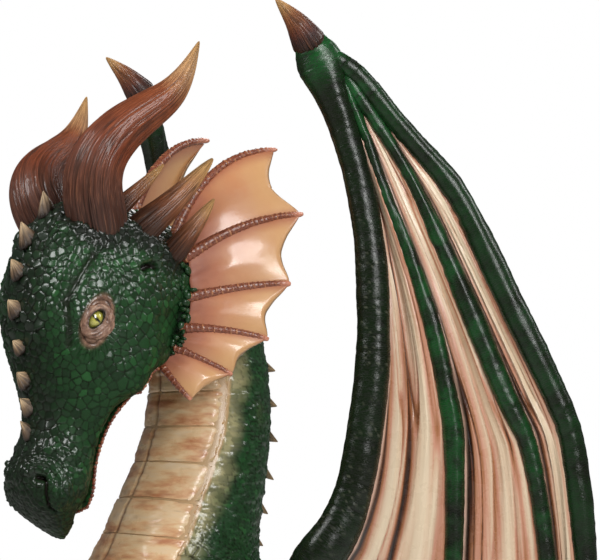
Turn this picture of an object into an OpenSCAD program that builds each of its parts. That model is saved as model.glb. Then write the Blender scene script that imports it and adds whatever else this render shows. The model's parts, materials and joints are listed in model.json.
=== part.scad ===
// Dragon statue, upper section: head, neck, chest and two lift-off wings on a steel armature.
// The dragon faces -Y, its left side is +X, and the origin is the middle of the base plate's underside.

/* [Base] */
// Rim of the steel base plate outside its bolt circle
base_rim = 20; // [15:1:50]
// Thickness of the base plate
base_t = 12; // [8:1:20]
// Bolt circle of the base plate
base_pcd = 440; // [436:1:500]
// Hole for an anchor bolt
base_hole_d = 14; // [9:1:16]
// Number of anchor bolts
base_holes = 6; // [4:1:12]

/* [Armature] */
// Outer diameter of the mast and the neck tube
tube_d = 60; // [42:1:70]
// Wall of the armature tubes
tube_wall = 4; // [3:0.5:6]
// Height of the mast above the base plate
mast_h = 410; // [390:1:415]
// Diameter of the cap that joins the mast and the neck tube
cap_d = 96; // [90:1:120]
// Thickness of the mast cap
cap_t = 10; // [8:1:14]
// Diameter of the shoulder braces
brace_d = 34; // [25:1:40]
// Number of angle brackets at the foot of the chest
brackets_n = 6; // [4:1:8]
// Width and leg length of a foot bracket
bracket_w = 40; // [30:1:50]
// Thickness of a foot bracket
bracket_t = 5; // [3:0.5:8]
// Thickness of the bulkheads in the neck joint
bulkhead_t = 12; // [9:1:18]
// Bolt circle of the neck joint
joint_pcd = 160; // [140:1:175]
// Diameter of the neck joint bolts
joint_bolt_d = 10; // [8:1:12]
// Number of neck joint bolts
joint_bolts = 6; // [4:1:8]

/* [Shells] */
// Wall of the moulded shells
shell_t = 7; // [5:0.5:10]
// Width of the chest
chest_w = 420; // [400:1:440]
// Width of the neck at its middle
neck_w = 252; // [240:1:264]
// Width of the head across the cheeks
head_w = 270; // [260:1:284]
// Depth of the lower jaw at the lips
jaw_h = 12; // [9:1:16]
// Pitch of the belly plates along the throat
plate_pitch = 67; // [55:1:75]
// Thickness of a belly plate
plate_t = 6; // [4:0.5:8]
// Height of a spine on the back of the neck
spine_h = 58; // [45:1:66]
// Height of a spike on the ridge of the face
spike_h = 42; // [36:1:46]
// Diameter of the glass eyes
eye_d = 52; // [46:1:56]

/* [Horns and frill] */
// Radius of a main horn at its root
horn_r = 56; // [48:1:60]
// Radius of an upper temple horn at its root
temple_r = 34; // [30:1:35]
// Radius of a frill rib at its root
rib_r = 11.5; // [9:0.5:12.5]
// Thickness of the frill skin
frill_t = 5; // [3:0.5:7]
// How deep the frill skin is scooped between two rib tips, in percent
frill_scoop = 15; // [8:1:24]
// How much lower the right main horn sits past its bend
right_horn_drop = 38; // [0:1:45]
// How much further out the right main horn bends
right_horn_spread = 18; // [0:1:25]
// How much higher the right frill's top rib tip sits
right_frill_lift = 54; // [0:1:60]

/* [Wings] */
// Half width of the wing arm at its middle
arm_r = 34; // [28:1:38]
// Half width of the leading wing finger at its middle
finger_r = 25; // [20:1:28]
// Thickness of the wing skin
web_t = 6; // [4:0.5:8]
// How deep the wing skin is scooped between two finger tips, in percent
web_scoop = 16; // [8:1:24]
// Length of the thumb claw
claw_len = 122; // [100:1:124]
// Radius of the shoulder cup
cup_r = 60; // [56:1:64]
// Length of the shoulder cup
cup_len = 112; // [104:1:120]
// Width of the square wing tenon
tenon_w = 42; // [34:1:48]
// Length of the tenon below its seat plate
tenon_len = 96; // [80:1:100]
// Thickness of the tenon's seat plate
seat_t = 8; // [6:1:12]
// Diameter of the clamp screw
screw_d = 12; // [8:1:14]
// Diameter of the clamp screw's knob
knob_d = 38; // [32:1:44]

/* [Fits] */
// Running clearance between parts that move
move_gap = 0.4; // [0.3:0.1:0.8]
// Bond line between parts that are glued or bolted together
bond_gap = 0.5; // [0.3:0.1:0.8]
// How far a horn, spike or spine is set into its shell
set_depth = 6; // [5:0.5:9]

/* [Hidden] */
$fn = 48;

// Paint and material colours
skin_green = [0.09, 0.22, 0.13];
belly_cream = [0.83, 0.70, 0.50];
horn_brown = [0.45, 0.28, 0.16];
spike_tan = [0.72, 0.55, 0.36];
frill_peach = [0.88, 0.62, 0.42];
rib_copper = [0.55, 0.29, 0.18];
web_cream = [0.85, 0.70, 0.55];
eye_amber = [0.75, 0.70, 0.20];
lid_rose = [0.55, 0.40, 0.33];
steel_grey = [0.55, 0.57, 0.60];
wood_tan = [0.72, 0.58, 0.40];
knob_black = [0.10, 0.10, 0.11];

// Body profile from the base to the nose. Each row holds the back point (y, z), the belly point (y, z),
// the half width, the roundness of the back and of the belly side, and where the row is widest.
body_rows = [
  [185, base_t, -198, base_t, 0.43 * chest_w, 2.1, 2.1, 0.50],
  [200, 110, -230, 120, 0.48 * chest_w, 2.1, 2.1, 0.50],
  [204, 205, -238, 230, 0.50 * chest_w, 2.1, 2.1, 0.50],
  [190, 300, -222, 330, 0.485 * chest_w, 2.1, 2.1, 0.50],
  [165, 370, -196, 405, 0.43 * chest_w, 2.1, 2.1, 0.50],
  [146, 425, -168, 462, 0.61 * neck_w, 2.0, 2.0, 0.50],
  [153, 500, -127, 544, 0.56 * neck_w, 2.0, 2.0, 0.50],
  [170, 590, -94, 610, 0.52 * neck_w, 2.0, 2.0, 0.50],
  [185, 682, -66, 682, 0.50 * neck_w, 2.0, 2.0, 0.50],
  [181, 775, -55, 765, 0.475 * neck_w, 2.0, 2.0, 0.50],
  [164, 875, -60, 808, 0.46 * neck_w, 2.0, 2.0, 0.50],
  [115, 985, -68, 826, 0.425 * head_w, 2.0, 2.0, 0.50],
  [12, 1058, -76, 834, 0.415 * head_w, 2.0, 2.0, 0.50],
  [-90, 1090, -84, 830, 0.43 * head_w, 2.0, 2.0, 0.48],
  [-206, 1112, -98, 818, 0.47 * head_w, 2.1, 2.1, 0.47],
  [-290, 1108, -118, 797, 0.49 * head_w, 2.2, 2.2, 0.46],
  [-346, 1054, -145, 770, 0.50 * head_w, 2.3, 2.3, 0.46],
  [-374, 992, -172, 751, 0.50 * head_w, 2.35, 3.0, 0.46],
  [-384, 928, -196, 728, 0.475 * head_w, 2.35, 3.4, 0.47],
  [-380, 862, -213, 704, 0.425 * head_w, 2.25, 3.8, 0.48],
  [-368, 800, -224, 674, 0.355 * head_w, 2.0, 4.0, 0.48],
  [-356, 738, -231, 640, 0.295 * head_w, 1.9, 4.0, 0.48],
  [-352, 690, -236, 608, 0.27 * head_w, 2.0, 4.0, 0.50],
  [-361, 646, -240, 580, 0.28 * head_w, 2.1, 3.8, 0.52],
  [-382, 604, -247, 555, 0.305 * head_w, 2.2, 3.2, 0.56],
  [-376, 562, -257, 534, 0.285 * head_w, 2.2, 2.4, 0.56],
  [-348, 527, -266, 514, 0.205 * head_w, 2.1, 2.2, 0.55],
  [-311, 500, -272, 496, 0.115 * head_w, 2.0, 2.0, 0.52],
  [-284, 484, -276, 483, 0.03 * head_w, 2.0, 2.0, 0.50]
];
chest_end = 5;
neck_end = 10;
head_end = len(body_rows) - 1;
jaw_start = 16.2;
jaw_end = 25.4;
body_sides = 28;

// Small helpers
function unit(v) = v / norm(v);
function mix(a, b, t) = a + (b - a) * t;
function signed_pow(v, e) = sign(v) * pow(abs(v), e);
function flat(lists) = [for (list = lists) for (item = list) item];
function middle(points, i = 0) =
  i == len(points) ? [0, 0, 0] : points[i] / len(points) + middle(points, i + 1);

// A smooth curve through the rows of a list, at a row number that need not be whole
function smooth(a, b, c, d, t) =
  b + 0.5 * t * (c - a + t * (2 * a - 5 * b + 4 * c - d + t * (3 * (b - c) + d - a)));
function row_at(rows, t) =
  let (last = len(rows) - 1)
  let (i = max(0, min(last - 1, floor(t))))
  smooth(rows[max(0, i - 1)], rows[i], rows[i + 1], rows[min(last, i + 2)], t - i);
function steps(from, to, count) = [for (i = [0 : count]) mix(from, to, i / count)];

// A point of the body at row t and angle a round it, 0 at the back and 180 at the belly
function jaw_share(t) =
  t < jaw_start - 1 || t > jaw_end + 1 ? 0 : min(1, t - jaw_start + 1, jaw_end + 1 - t);
function body_ring_point(t, a, inset, lift) =
  let (r = row_at(body_rows, t))
  let (back = [0, r[0], r[1]])
  let (belly = [0, r[2], r[3]])
  let (up = unit(back - belly))
  let (span = norm(back - belly) - lift)
  let (round_e = 2 / (cos(a) > 0 ? r[5] : r[6]))
  let (share = cos(a) > 0 ? 1 - r[7] : r[7])
  belly + up * (lift + span * r[7])
    + [max(r[4] - inset, 1) * signed_pow(sin(a), round_e), 0, 0]
    + up * max(share * span - inset, 1) * signed_pow(cos(a), round_e);
function body_point(t, a, inset = 0) = body_ring_point(t, a, inset, jaw_h * jaw_share(t));
function body_ring(t, inset = 0) =
  [for (j = [0 : body_sides - 1]) body_point(t, 360 * j / body_sides, inset)];
function body_normal(t, a) =
  unit(cross(
    body_point(t + 0.05, a) - body_point(t - 0.05, a),
    body_point(t, a + 2) - body_point(t, a - 2)
  ));
function row_axis(t) =
  let (r = row_at(body_rows, t))
  unit([0, r[3] - r[1], r[0] - r[2]]);
function row_centre(t) = (body_point(t, 0) + body_point(t, 180)) / 2;
// The row whose belly point lies at height z
function row_of(z, low, high, tries = 24) =
  tries == 0 ? (low + high) / 2 :
  let (m = (low + high) / 2)
  row_at(body_rows, m)[3] < z ? row_of(z, m, high, tries - 1) : row_of(z, low, m, tries - 1);

// Faces of closed skins
function side_faces(rings, sides, start, inward) = [
  for (i = [0 : rings - 2]) for (j = [0 : sides - 1])
    let (a = start + i * sides + j)
    let (b = start + i * sides + (j + 1) % sides)
    for (f = [[a, b, b + sides], [a, b + sides, a + sides]])
      inward ? [f[0], f[2], f[1]] : f
];
function fan_faces(hub, start, sides, inward) = [
  for (j = [0 : sides - 1])
    let (a = start + j)
    let (b = start + (j + 1) % sides)
    inward ? [hub, a, b] : [hub, b, a]
];
function rim_faces(outer, inner, sides, inward) = [
  for (j = [0 : sides - 1])
    let (k = (j + 1) % sides)
    for (f = [[outer + j, inner + k, outer + k], [outer + j, inner + j, inner + k]])
      inward ? [f[0], f[2], f[1]] : f
];

// A solid skinned over a list of rings
module skin(rings) {
  sides = len(rings[0]);
  count = len(rings);
  hub = sides * count;
  polyhedron(
    concat(flat(rings), [middle(rings[0]), middle(rings[count - 1])]),
    concat(
      side_faces(count, sides, 0, false),
      fan_faces(hub, 0, sides, false),
      fan_faces(hub + 1, hub - sides, sides, true)
    ),
    convexity = 10
  );
}

// A shell between outer and inner rings, open at its first ring and at its last ring or closed there
module shell(outer, inner, closed_end) {
  sides = len(outer[0]);
  outs = len(outer) * sides;
  ins = len(inner) * sides;
  hub = outs + ins;
  end_faces = closed_end
    ? concat(fan_faces(hub, outs - sides, sides, true), fan_faces(hub + 1, hub - sides, sides, false))
    : rim_faces(outs - sides, hub - sides, sides, true);
  end_points = closed_end ? [middle(outer[len(outer) - 1]), middle(inner[len(inner) - 1])] : [];
  polyhedron(
    concat(flat(outer), flat(inner), end_points),
    concat(
      side_faces(len(outer), sides, 0, false),
      side_faces(len(inner), sides, outs, true),
      rim_faces(0, outs, sides, false),
      end_faces
    ),
    convexity = 10
  );
}

// A closed sheet between a top and a bottom grid of points
module sheet(top, bottom) {
  rows = len(top);
  cols = len(top[0]);
  off = rows * cols;
  edge = concat(
    [for (j = [0 : cols - 1]) j],
    [for (i = [1 : rows - 1]) i * cols + cols - 1],
    [for (j = [cols - 2 : -1 : 0]) (rows - 1) * cols + j],
    [for (i = [rows - 2 : -1 : 1]) i * cols]
  );
  polyhedron(
    concat(flat(top), flat(bottom)),
    concat(
      [for (i = [0 : rows - 2]) for (j = [0 : cols - 2])
        let (a = i * cols + j)
        for (f = [[a, a + 1, a + cols + 1], [a, a + cols + 1, a + cols]]) f],
      [for (i = [0 : rows - 2]) for (j = [0 : cols - 2])
        let (a = off + i * cols + j)
        for (f = [[a, a + cols + 1, a + 1], [a, a + cols, a + cols + 1]]) f],
      [for (k = [0 : len(edge) - 1])
        let (a = edge[k])
        let (b = edge[(k + 1) % len(edge)])
        for (f = [[a, off + b, b], [a, off + a, off + b]]) f]
    ),
    convexity = 10
  );
}

// Rings of a tapering limb along a path, wide across the flat of the limb and thick along its normal
function limb_rings(path, wide, thick, flat_normal, sides) = [
  for (i = [0 : len(path) - 1])
    let (along = unit(path[min(i + 1, len(path) - 1)] - path[max(i - 1, 0)]))
    let (across = unit(cross(flat_normal, along)))
    let (out = cross(across, along))
    [for (j = [0 : sides - 1])
      path[i] + across * wide[i] * cos(360 * j / sides) + out * thick[i] * sin(360 * j / sides)]
];
function curve(points, count) = [for (t = steps(0, len(points) - 1, count)) row_at(points, t)];

// A leaning spike: its root ring is as long as it is set, and it narrows to its tip
spike_shares = [[0, 1], [0.3, 0.8], [0.6, 0.5], [0.85, 0.22], [1, 0.05]];
spike_sides = 8;
function spike_rings(root, tip, along, half_len, half_w) =
  let (across = unit(cross(along, tip - root)))
  [for (s = spike_shares)
    [for (j = [0 : spike_sides - 1])
      let (a = 360 * j / spike_sides)
      mix(root, tip, s[0]) + s[1] * (along * half_len * cos(a) + across * half_w * sin(a))]];
// How a horn or claw narrows from 1 at its root to a small blunt tip
tip_share = 0.03;
function taper(t, power) = pow(max(1 - t, tip_share), power);

// The left side's children on the right side
module right_side() {
  mirror([1, 0, 0])
    children();
}

// Base and armature
module ring_of(pcd, count) {
  for (i = [0 : count - 1])
    rotate([0, 0, 360 * i / count])
      translate([pcd / 2, 0, 0])
        children();
}

base_d = base_pcd + 2 * base_rim;
module base_plate() {
  color(steel_grey)
  difference() {
    cylinder(d = base_d, h = base_t, $fn = 96);
    ring_of(base_pcd, base_holes)
      translate([0, 0, -1])
        cylinder(d = base_hole_d, h = base_t + 2);
  }
}

mast_y = -12;
module mast_tube() {
  color(steel_grey)
  translate([0, mast_y, base_t])
    difference() {
      cylinder(d = tube_d, h = mast_h);
      translate([0, 0, -1])
        cylinder(d = tube_d - 2 * tube_wall, h = mast_h + 2);
    }
}

cap_z = base_t + mast_h;
module mast_cap() {
  color(steel_grey)
  translate([0, mast_y, cap_z])
    cylinder(d = cap_d, h = cap_t);
}

// Places children with their Z axis along a direction and their X axis as near as can be to a side
module aim(origin, axis, side) {
  x = unit(side - axis * (side * axis));
  y = cross(axis, x);
  multmatrix([
    [x.x, y.x, axis.x, origin.x],
    [x.y, y.y, axis.y, origin.y],
    [x.z, y.z, axis.z, origin.z],
    [0, 0, 0, 1]
  ])
    children();
}

joint_centre = row_centre(neck_end);
joint_axis = row_axis(neck_end);
tube_foot = [0, mast_y, cap_z + cap_t];
tube_axis = unit(joint_centre - joint_axis * bulkhead_t - tube_foot);
side_axis = [1, 0, 0];
far = 400;
module neck_tube() {
  color(steel_grey)
  difference() {
    aim(tube_foot - tube_axis * tube_d, tube_axis, side_axis)
      difference() {
        cylinder(d = tube_d, h = 2 * far);
        translate([0, 0, -1])
          cylinder(d = tube_d - 2 * tube_wall, h = 2 * far + 2);
      }
    translate([-far / 2, mast_y - far / 2, cap_z + cap_t - far])
      cube(far);
    aim(joint_centre - joint_axis * bulkhead_t, joint_axis, side_axis)
      translate([-far, -far, 0])
        cube([2 * far, 2 * far, 2 * far]);
  }
}

// A wooden disc that fills the shell on one side of the neck joint
bulkhead_gap = 1.5;
module bulkhead(from, to) {
  ring = body_ring(neck_end, shell_t + bulkhead_gap);
  difference() {
    skin([for (h = [from, to]) [for (p = ring) p + joint_axis * h]]);
    aim(joint_centre, joint_axis, side_axis)
      ring_of(joint_pcd, joint_bolts)
        translate([0, 0, -3 * bulkhead_t])
          cylinder(d = joint_bolt_d + 2 * bond_gap, h = 6 * bulkhead_t);
  }
}

module neck_bulkhead() {
  color(wood_tan)
  bulkhead(-bulkhead_t, 0);
}

module head_bulkhead() {
  color(wood_tan)
  bulkhead(0, bulkhead_t);
}

joint_head_h = 0.65 * joint_bolt_d;
joint_head_d = 1.75 * joint_bolt_d;
module joint_bolts_set() {
  color(steel_grey)
  aim(joint_centre, joint_axis, side_axis)
    ring_of(joint_pcd, joint_bolts)
      union() {
        translate([0, 0, -bulkhead_t - joint_head_h])
          cylinder(d = joint_bolt_d, h = 2 * (bulkhead_t + joint_head_h));
        for (z = [-bulkhead_t - joint_head_h, bulkhead_t])
          translate([0, 0, z])
            cylinder(d = joint_head_d, h = joint_head_h, $fn = 6);
      }
}

// Shoulder cups, in the left side's frame: the cup's mouth, its axis and the side that shows
cup_inset = 38;
cup_mouth = [chest_w / 2 - cup_inset, 128, 326];
cup_axis = unit([0.48, 0.26, 0.84]);
cup_side = unit([0.54, 0.67, -0.52]);
screw_z = -26;
bore_w = tenon_w + 2 * move_gap;

module at_cup() {
  aim(cup_mouth, cup_axis, cup_side)
    children();
}

module shoulder_cup() {
  at_cup()
    difference() {
      translate([0, 0, -cup_len])
        cylinder(r = cup_r, h = cup_len, $fn = 72);
      translate([-bore_w / 2, -bore_w / 2, -tenon_len - 2 * move_gap])
        cube([bore_w, bore_w, 2 * cup_len]);
      translate([0, 0, screw_z])
        rotate([0, 90, 0])
          cylinder(d = screw_d + 2 * move_gap, h = 2 * cup_r);
    }
}

// A brace runs from the mast to the underside of a cup and is welded to both
brace_drop = 190;
module brace() {
  foot = [0, mast_y, cup_mouth.z - brace_drop];
  head = cup_mouth - cup_axis * cup_len;
  difference() {
    aim(foot, unit(head - foot), side_axis)
      cylinder(d = brace_d, h = norm(head - foot) + brace_d);
    translate([0, mast_y, base_t])
      cylinder(d = tube_d, h = mast_h);
    at_cup()
      translate([0, 0, -cup_len])
        cylinder(r = 2 * cup_r, h = 2 * cup_len);
  }
}

module left_shoulder_cup() {
  color(steel_grey)
  shoulder_cup();
}

module right_shoulder_cup() {
  color(steel_grey)
  right_side() shoulder_cup();
}

module left_brace() {
  color(steel_grey)
  brace();
}

module right_brace() {
  color(steel_grey)
  right_side() brace();
}

// Moulded shells
chest_steps = 12;
neck_steps = 12;
module shell_part(from, to, count) {
  shell(
    [for (t = steps(from, to, count)) body_ring(t)],
    [for (t = steps(from, to, count)) body_ring(t, shell_t)],
    false
  );
}

// Angle brackets that tie the foot of the chest to the base plate
bracket_gap = 1.8;
module foot_brackets() {
  color(steel_grey)
  for (i = [0 : brackets_n - 1])
    let (a = 360 * (i + 0.5) / brackets_n)
    let (p = body_point(0, a, shell_t + bracket_gap))
    let (n = body_normal(0, a))
      aim([p.x, p.y, base_t], [0, 0, 1], n)
        translate([0, -bracket_w / 2, 0])
          union() {
            translate([-bracket_w, 0, 0])
              cube([bracket_w, bracket_w, bracket_t]);
            translate([-bracket_t, 0, 0])
              cube([bracket_t, bracket_w, bracket_w]);
          }
}

module chest_shell() {
  color(skin_green)
  difference() {
    shell_part(0, chest_end, chest_steps);
    for (side = [0, 1])
      mirror([side, 0, 0])
        at_cup()
          translate([0, 0, -cup_len])
            cylinder(r = cup_r + bond_gap, h = 3 * cup_len, $fn = 72);
  }
}

module neck_shell() {
  color(skin_green)
  shell_part(chest_end, neck_end, neck_steps);
}

// A band inside the seam between chest and neck
band_rows = 0.35;
band_steps = 2;
band_t = 5;
module neck_band() {
  rows = steps(chest_end - band_rows, chest_end + band_rows, band_steps);
  color(wood_tan)
  shell(
    [for (t = rows) body_ring(t, shell_t + bond_gap)],
    [for (t = rows) body_ring(t, shell_t + bond_gap + band_t)],
    false
  );
}

// Belly plates, from the foot of the chest up to the jaw
belly_foot_z = base_t + 4;
throat_first_z = 489;
throat_plates_n = 5;
chest_plates_n = ceil((throat_first_z - belly_foot_z) / plate_pitch);
plate_gap = 3;
plate_set = 2;
plate_rows = 3;
plate_cols = 10;
plate_edge = 0.5;
// Half of the angle that a plate covers, on the chest and from the foot of the neck to the jaw
chest_plate_span = 52;
throat_plate_spans = [56, 72];
function plate_span(t) =
  t < chest_end ? chest_plate_span :
  mix(throat_plate_spans[0], throat_plate_spans[1], (t - chest_end) / (neck_end - chest_end));
function plate_height(i, j) =
  let (across = 2 * j / plate_cols - 1)
  mix(plate_edge, 1, (1 - pow(across, 4)) * sin(180 * mix(0.12, 0.88, i / plate_rows)));
function plate_grid(z0, z1, crown) =
  let (t0 = row_of(z0, 0, neck_end))
  let (t1 = row_of(z1, 0, neck_end))
  [for (i = [0 : plate_rows])
    let (t = mix(t0, t1, i / plate_rows))
    [for (j = [0 : plate_cols])
      let (a = 180 + plate_span(t) * (2 * j / plate_cols - 1))
      body_point(t, a) + body_normal(t, a) * (crown * plate_height(i, j) - plate_set)]];

module belly_plate(z0, z1) {
  sheet(plate_grid(z0, z1, plate_t + plate_set), plate_grid(z0, z1, 0));
}

module chest_plates() {
  color(belly_cream)
  for (i = [1 : chest_plates_n])
    let (top_z = throat_first_z - (i - 1) * plate_pitch - plate_gap)
      belly_plate(max(top_z - plate_pitch + plate_gap, belly_foot_z), top_z);
}

module throat_plates() {
  color(belly_cream)
  for (i = [0 : throat_plates_n - 1])
    let (low_z = throat_first_z + i * plate_pitch)
      belly_plate(low_z, min(low_z + plate_pitch - plate_gap, body_rows[neck_end][3] - plate_gap));
}

// Spines along the back of the neck and chest
spine_rows = [0.8, 1.5, 2.25, 3.05, 4.0, 5.05, 5.88, 6.64, 7.39, 8.13, 8.84, 9.55];
nape_rows = [10.55, 11.15, 11.75, 12.4, 13.0];
spine_lean = -0.5;
spine_len = 0.46;
nape_len = 0.38;
nape_share = 0.8;
spine_w = 0.16;
function back_spike(t, h, half_len, half_w, lean) =
  let (n = body_normal(t, 0))
  let (along = row_axis(t))
  let (root = body_point(t, 0) - n * set_depth)
  spike_rings(root, root + n * (h + set_depth) + along * h * lean, along, half_len, half_w);

module neck_spines() {
  color(skin_green)
  for (t = spine_rows)
    skin(back_spike(t, spine_h, spine_len * spine_h, spine_w * spine_h, spine_lean));
}

module nape_spines() {
  color(skin_green)
  for (t = nape_rows)
    skin(back_spike(t, nape_share * spine_h, nape_len * spine_h, spine_w * spine_h, spine_lean));
}

// Head, solid at the tip of the nose
head_steps = 32;
hollow_steps = 26;
nose_rows = 1.9;
module head_shell() {
  color(skin_green)
  shell(
    [for (t = steps(neck_end, head_end, head_steps)) body_ring(t)],
    [for (t = steps(neck_end, head_end - nose_rows, hollow_steps)) body_ring(t, shell_t)],
    true
  );
}

// The lower jaw closes flat under the lips of the head
jaw_narrow = 0.66;
jaw_sides = 16;
jaw_steps = 16;
jaw_square = 0.6;
function jaw_ring(t) =
  let (r = row_at(body_rows, t))
  let (up = unit([0, r[0] - r[2], r[1] - r[3]]))
  let (grow = min(1, 0.45 * (t - jaw_start) + 0.35, 1.4 * (jaw_end - t) + 0.3))
  let (half_t = (jaw_h * jaw_share(t) - 2 * bond_gap) / 2)
  [for (j = [0 : jaw_sides - 1])
    let (a = 360 * j / jaw_sides)
    [0, r[2], r[3]] + up * half_t * (1 + signed_pow(cos(a), jaw_square))
      + [jaw_narrow * grow * r[4] * signed_pow(sin(a), jaw_square), 0, 0]];

module lower_jaw() {
  color(rib_copper)
  skin([for (t = steps(jaw_start, jaw_end, jaw_steps)) jaw_ring(t)]);
}

// Eyes, set in the side of the head and held by a ring of lids
eye_row = 17.5;
eye_angle = 80;
eye_sink = 0.34 * eye_d;
eye_out = body_normal(eye_row, eye_angle);
eye_centre = body_point(eye_row, eye_angle) - eye_out * eye_sink;
eye_tilt = 51;
lid_half_l = 0.62 * eye_d;
lid_half_w = 0.46 * eye_d;
lid_r = 0.22 * eye_d;
eye_along = unit(cross(cross(eye_out, [0, cos(eye_tilt), sin(eye_tilt)]), eye_out));
eye_across = cross(eye_out, eye_along);

module eye() {
  translate(eye_centre)
    sphere(d = eye_d, $fn = 64);
}

lid_sides = 8;
lid_steps = 24;
function lid_point(a) =
  eye_centre + eye_out * (eye_sink + lid_r * 0.1)
    + eye_along * lid_half_l * signed_pow(cos(a), 1.1)
    + eye_across * lid_half_w * signed_pow(sin(a), 1.25);
function lid_ring(a) =
  let (out = unit(lid_point(a) - eye_centre - eye_out * ((lid_point(a) - eye_centre) * eye_out)))
  [for (j = [0 : lid_sides - 1])
    lid_point(a) + lid_r * (out * cos(360 * j / lid_sides) + eye_out * 0.9 * sin(360 * j / lid_sides))];

module eyelids() {
  rings = [for (i = [0 : lid_steps - 1]) lid_ring(360 * i / lid_steps + 7.5)];
  polyhedron(
    flat(rings),
    [for (i = [0 : lid_steps - 1]) for (j = [0 : lid_sides - 1])
      let (a = i * lid_sides + j)
      let (b = i * lid_sides + (j + 1) % lid_sides)
      let (n = ((i + 1) % lid_steps - i) * lid_sides)
      for (f = [[a, b, b + n], [a, b + n, a + n]]) f],
    convexity = 10
  );
}

module left_eye() {
  color(eye_amber)
  eye();
}

module right_eye() {
  color(eye_amber)
  right_side() eye();
}

module left_eyelids() {
  color(lid_rose)
  eyelids();
}

module right_eyelids() {
  color(lid_rose)
  right_side() eyelids();
}

// Horns: each row is a place on the middle line and the share of the root radius
horn_rows = [
  [74, -262, 1058, 1.0],
  [86, -284, 1122, 0.98],
  [100, -276, 1180, 0.90],
  [118, -240, 1230, 0.78],
  [138, -198, 1267, 0.66],
  [158, -160, 1302, 0.52],
  [173, -135, 1348, 0.30],
  [186, -117, 1404, 0.04]
];
horn_sides = 14;
horn_steps = 15;
horn_flat = [0.7, 0.3, -0.2];
module horn(drop, spread) {
  rows = curve(horn_rows, horn_steps);
  path = [for (i = [0 : horn_steps])
    let (s = i / horn_steps)
    [rows[i].x + spread * sin(180 * s), rows[i].y, rows[i].z - drop * min(1, 2 * s)]];
  wide = [for (r = rows) horn_r * r[3]];
  skin(limb_rings(path, wide, wide, horn_flat, horn_sides));
}

module left_horn() {
  color(horn_brown)
  horn(0, 0);
}

module right_horn() {
  color(horn_brown)
  right_side() horn(right_horn_drop, right_horn_spread);
}

// Temple horns behind the main horn: root, middle, tip and share of the root radius
temple_sets = [
  [[96, -178, 1052], [132, -118, 1118], [152, -55, 1194], 1.0],
  [[112, -112, 1016], [138, -84, 1064], [151, -50, 1117], 0.76],
  [[62, -214, 1086], [84, -172, 1134], [100, -132, 1180], 0.6]
];
temple_steps = 6;
temple_sides = 10;
temple_taper = 0.66;
module temple_horns() {
  for (s = temple_sets) {
    path = curve([s[0], s[1], s[2]], temple_steps);
    wide = [for (t = steps(0, 1, temple_steps)) temple_r * s[3] * taper(t, temple_taper)];
    skin(limb_rings(path, wide, wide, horn_flat, temple_sides));
  }
}

module left_temple_horns() {
  color(horn_brown)
  temple_horns();
}

module right_temple_horns() {
  color(horn_brown)
  right_side() temple_horns();
}

// Spikes down the ridge of the face: row on the head and share of the spike height
ridge_sets = [
  [14.55, 0.8], [15.65, 0.95], [16.6, 1.06], [17.55, 1.0], [18.6, 1.1],
  [19.65, 1.0], [20.6, 1.05], [21.5, 0.95], [22.5, 0.72]
];
ridge_len = 0.56;
ridge_w = 0.36;
ridge_lean = -0.8;
module ridge_spikes() {
  color(spike_tan)
  for (s = ridge_sets)
    let (h = s[1] * spike_h)
      skin(back_spike(s[0], h, ridge_len * h, ridge_w * h, ridge_lean));
}

// Frill: root, bend and tip of each rib, and its share of the rib radius
rib_sets = [
  [[82, -88, 1052], [92, 0, 1186], [110, 144, 1246], 1.0],
  [[112, -84, 1006], [160, 14, 1070], [190, 142, 1104], 1.0],
  [[118, -80, 930], [172, 14, 952], [215, 88, 960], 1.0],
  [[119, -86, 870], [166, -26, 866], [205, 41, 851], 0.9],
  [[114, -98, 828], [150, -62, 806], [180, -27, 783], 0.8],
  [[98, -128, 798], [128, -118, 764], [150, -100, 735], 0.7]
];
rib_steps = 7;
rib_sides = 8;
rib_end = 0.5;
rib_flat = [0.8, -0.5, 0.1];
rib_set_in = 14;
rib_bend_lift = 0.8;
function rib_point(s, t) =
  let (pull = 2 * s[1] - (s[0] + s[2]) / 2)
  mix(mix(s[0], pull, t), mix(pull, s[2], t), t);
function rib_of(i, lift) =
  let (s = rib_sets[i])
  let (up = i == 0 ? [0, 0, lift] : [0, 0, 0])
  [s[0] - unit(s[1] - s[0]) * rib_set_in, s[1] + rib_bend_lift * up, s[2] + up];

module frill_ribs(lift) {
  for (i = [0 : len(rib_sets) - 1]) {
    s = rib_of(i, lift);
    path = [for (t = steps(0, 1, rib_steps)) rib_point(s, t)];
    wide = [for (t = steps(0, 1, rib_steps)) rib_r * rib_sets[i][3] * mix(1, rib_end, t)];
    skin(limb_rings(path, wide, wide, rib_flat, rib_sides));
  }
}

frill_cols = 4;
frill_rows = 6;
frill_edge = 0.03;
frill_from = 0.06;
frill_to = 0.985;
// A hollow of depth 1 half way between two edges
function hollow(l) = 4 * l * (1 - l);
function frill_point(a, b, i, j) =
  let (l = mix(frill_edge, 1 - frill_edge, j / frill_cols))
  let (down = i / frill_rows)
  let (t = mix(frill_from, frill_to, down) * (1 - frill_scoop / 100 * hollow(l) * down))
  mix(rib_point(a, t), rib_point(b, t), l);
function frill_grid(a, b, lift) = [
  for (i = [0 : frill_rows])
    [for (j = [0 : frill_cols])
      let (p = frill_point(a, b, i, j))
      let (n = unit(cross(
        frill_point(a, b, min(i + 1, frill_rows), j) - frill_point(a, b, max(i - 1, 0), j),
        frill_point(a, b, i, min(j + 1, frill_cols)) - frill_point(a, b, i, max(j - 1, 0))
      )))
      p + n * lift]
];

module frill(lift) {
  for (i = [0 : len(rib_sets) - 2]) {
    a = rib_of(i, lift);
    b = rib_of(i + 1, lift);
    sheet(frill_grid(a, b, frill_t / 2), frill_grid(a, b, -frill_t / 2));
  }
}

module left_frill() {
  color(frill_peach)
  frill(0);
}

module right_frill() {
  color(frill_peach)
  right_side() frill(right_frill_lift);
}

module left_frill_ribs() {
  color(rib_copper)
  frill_ribs(0);
}

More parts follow.
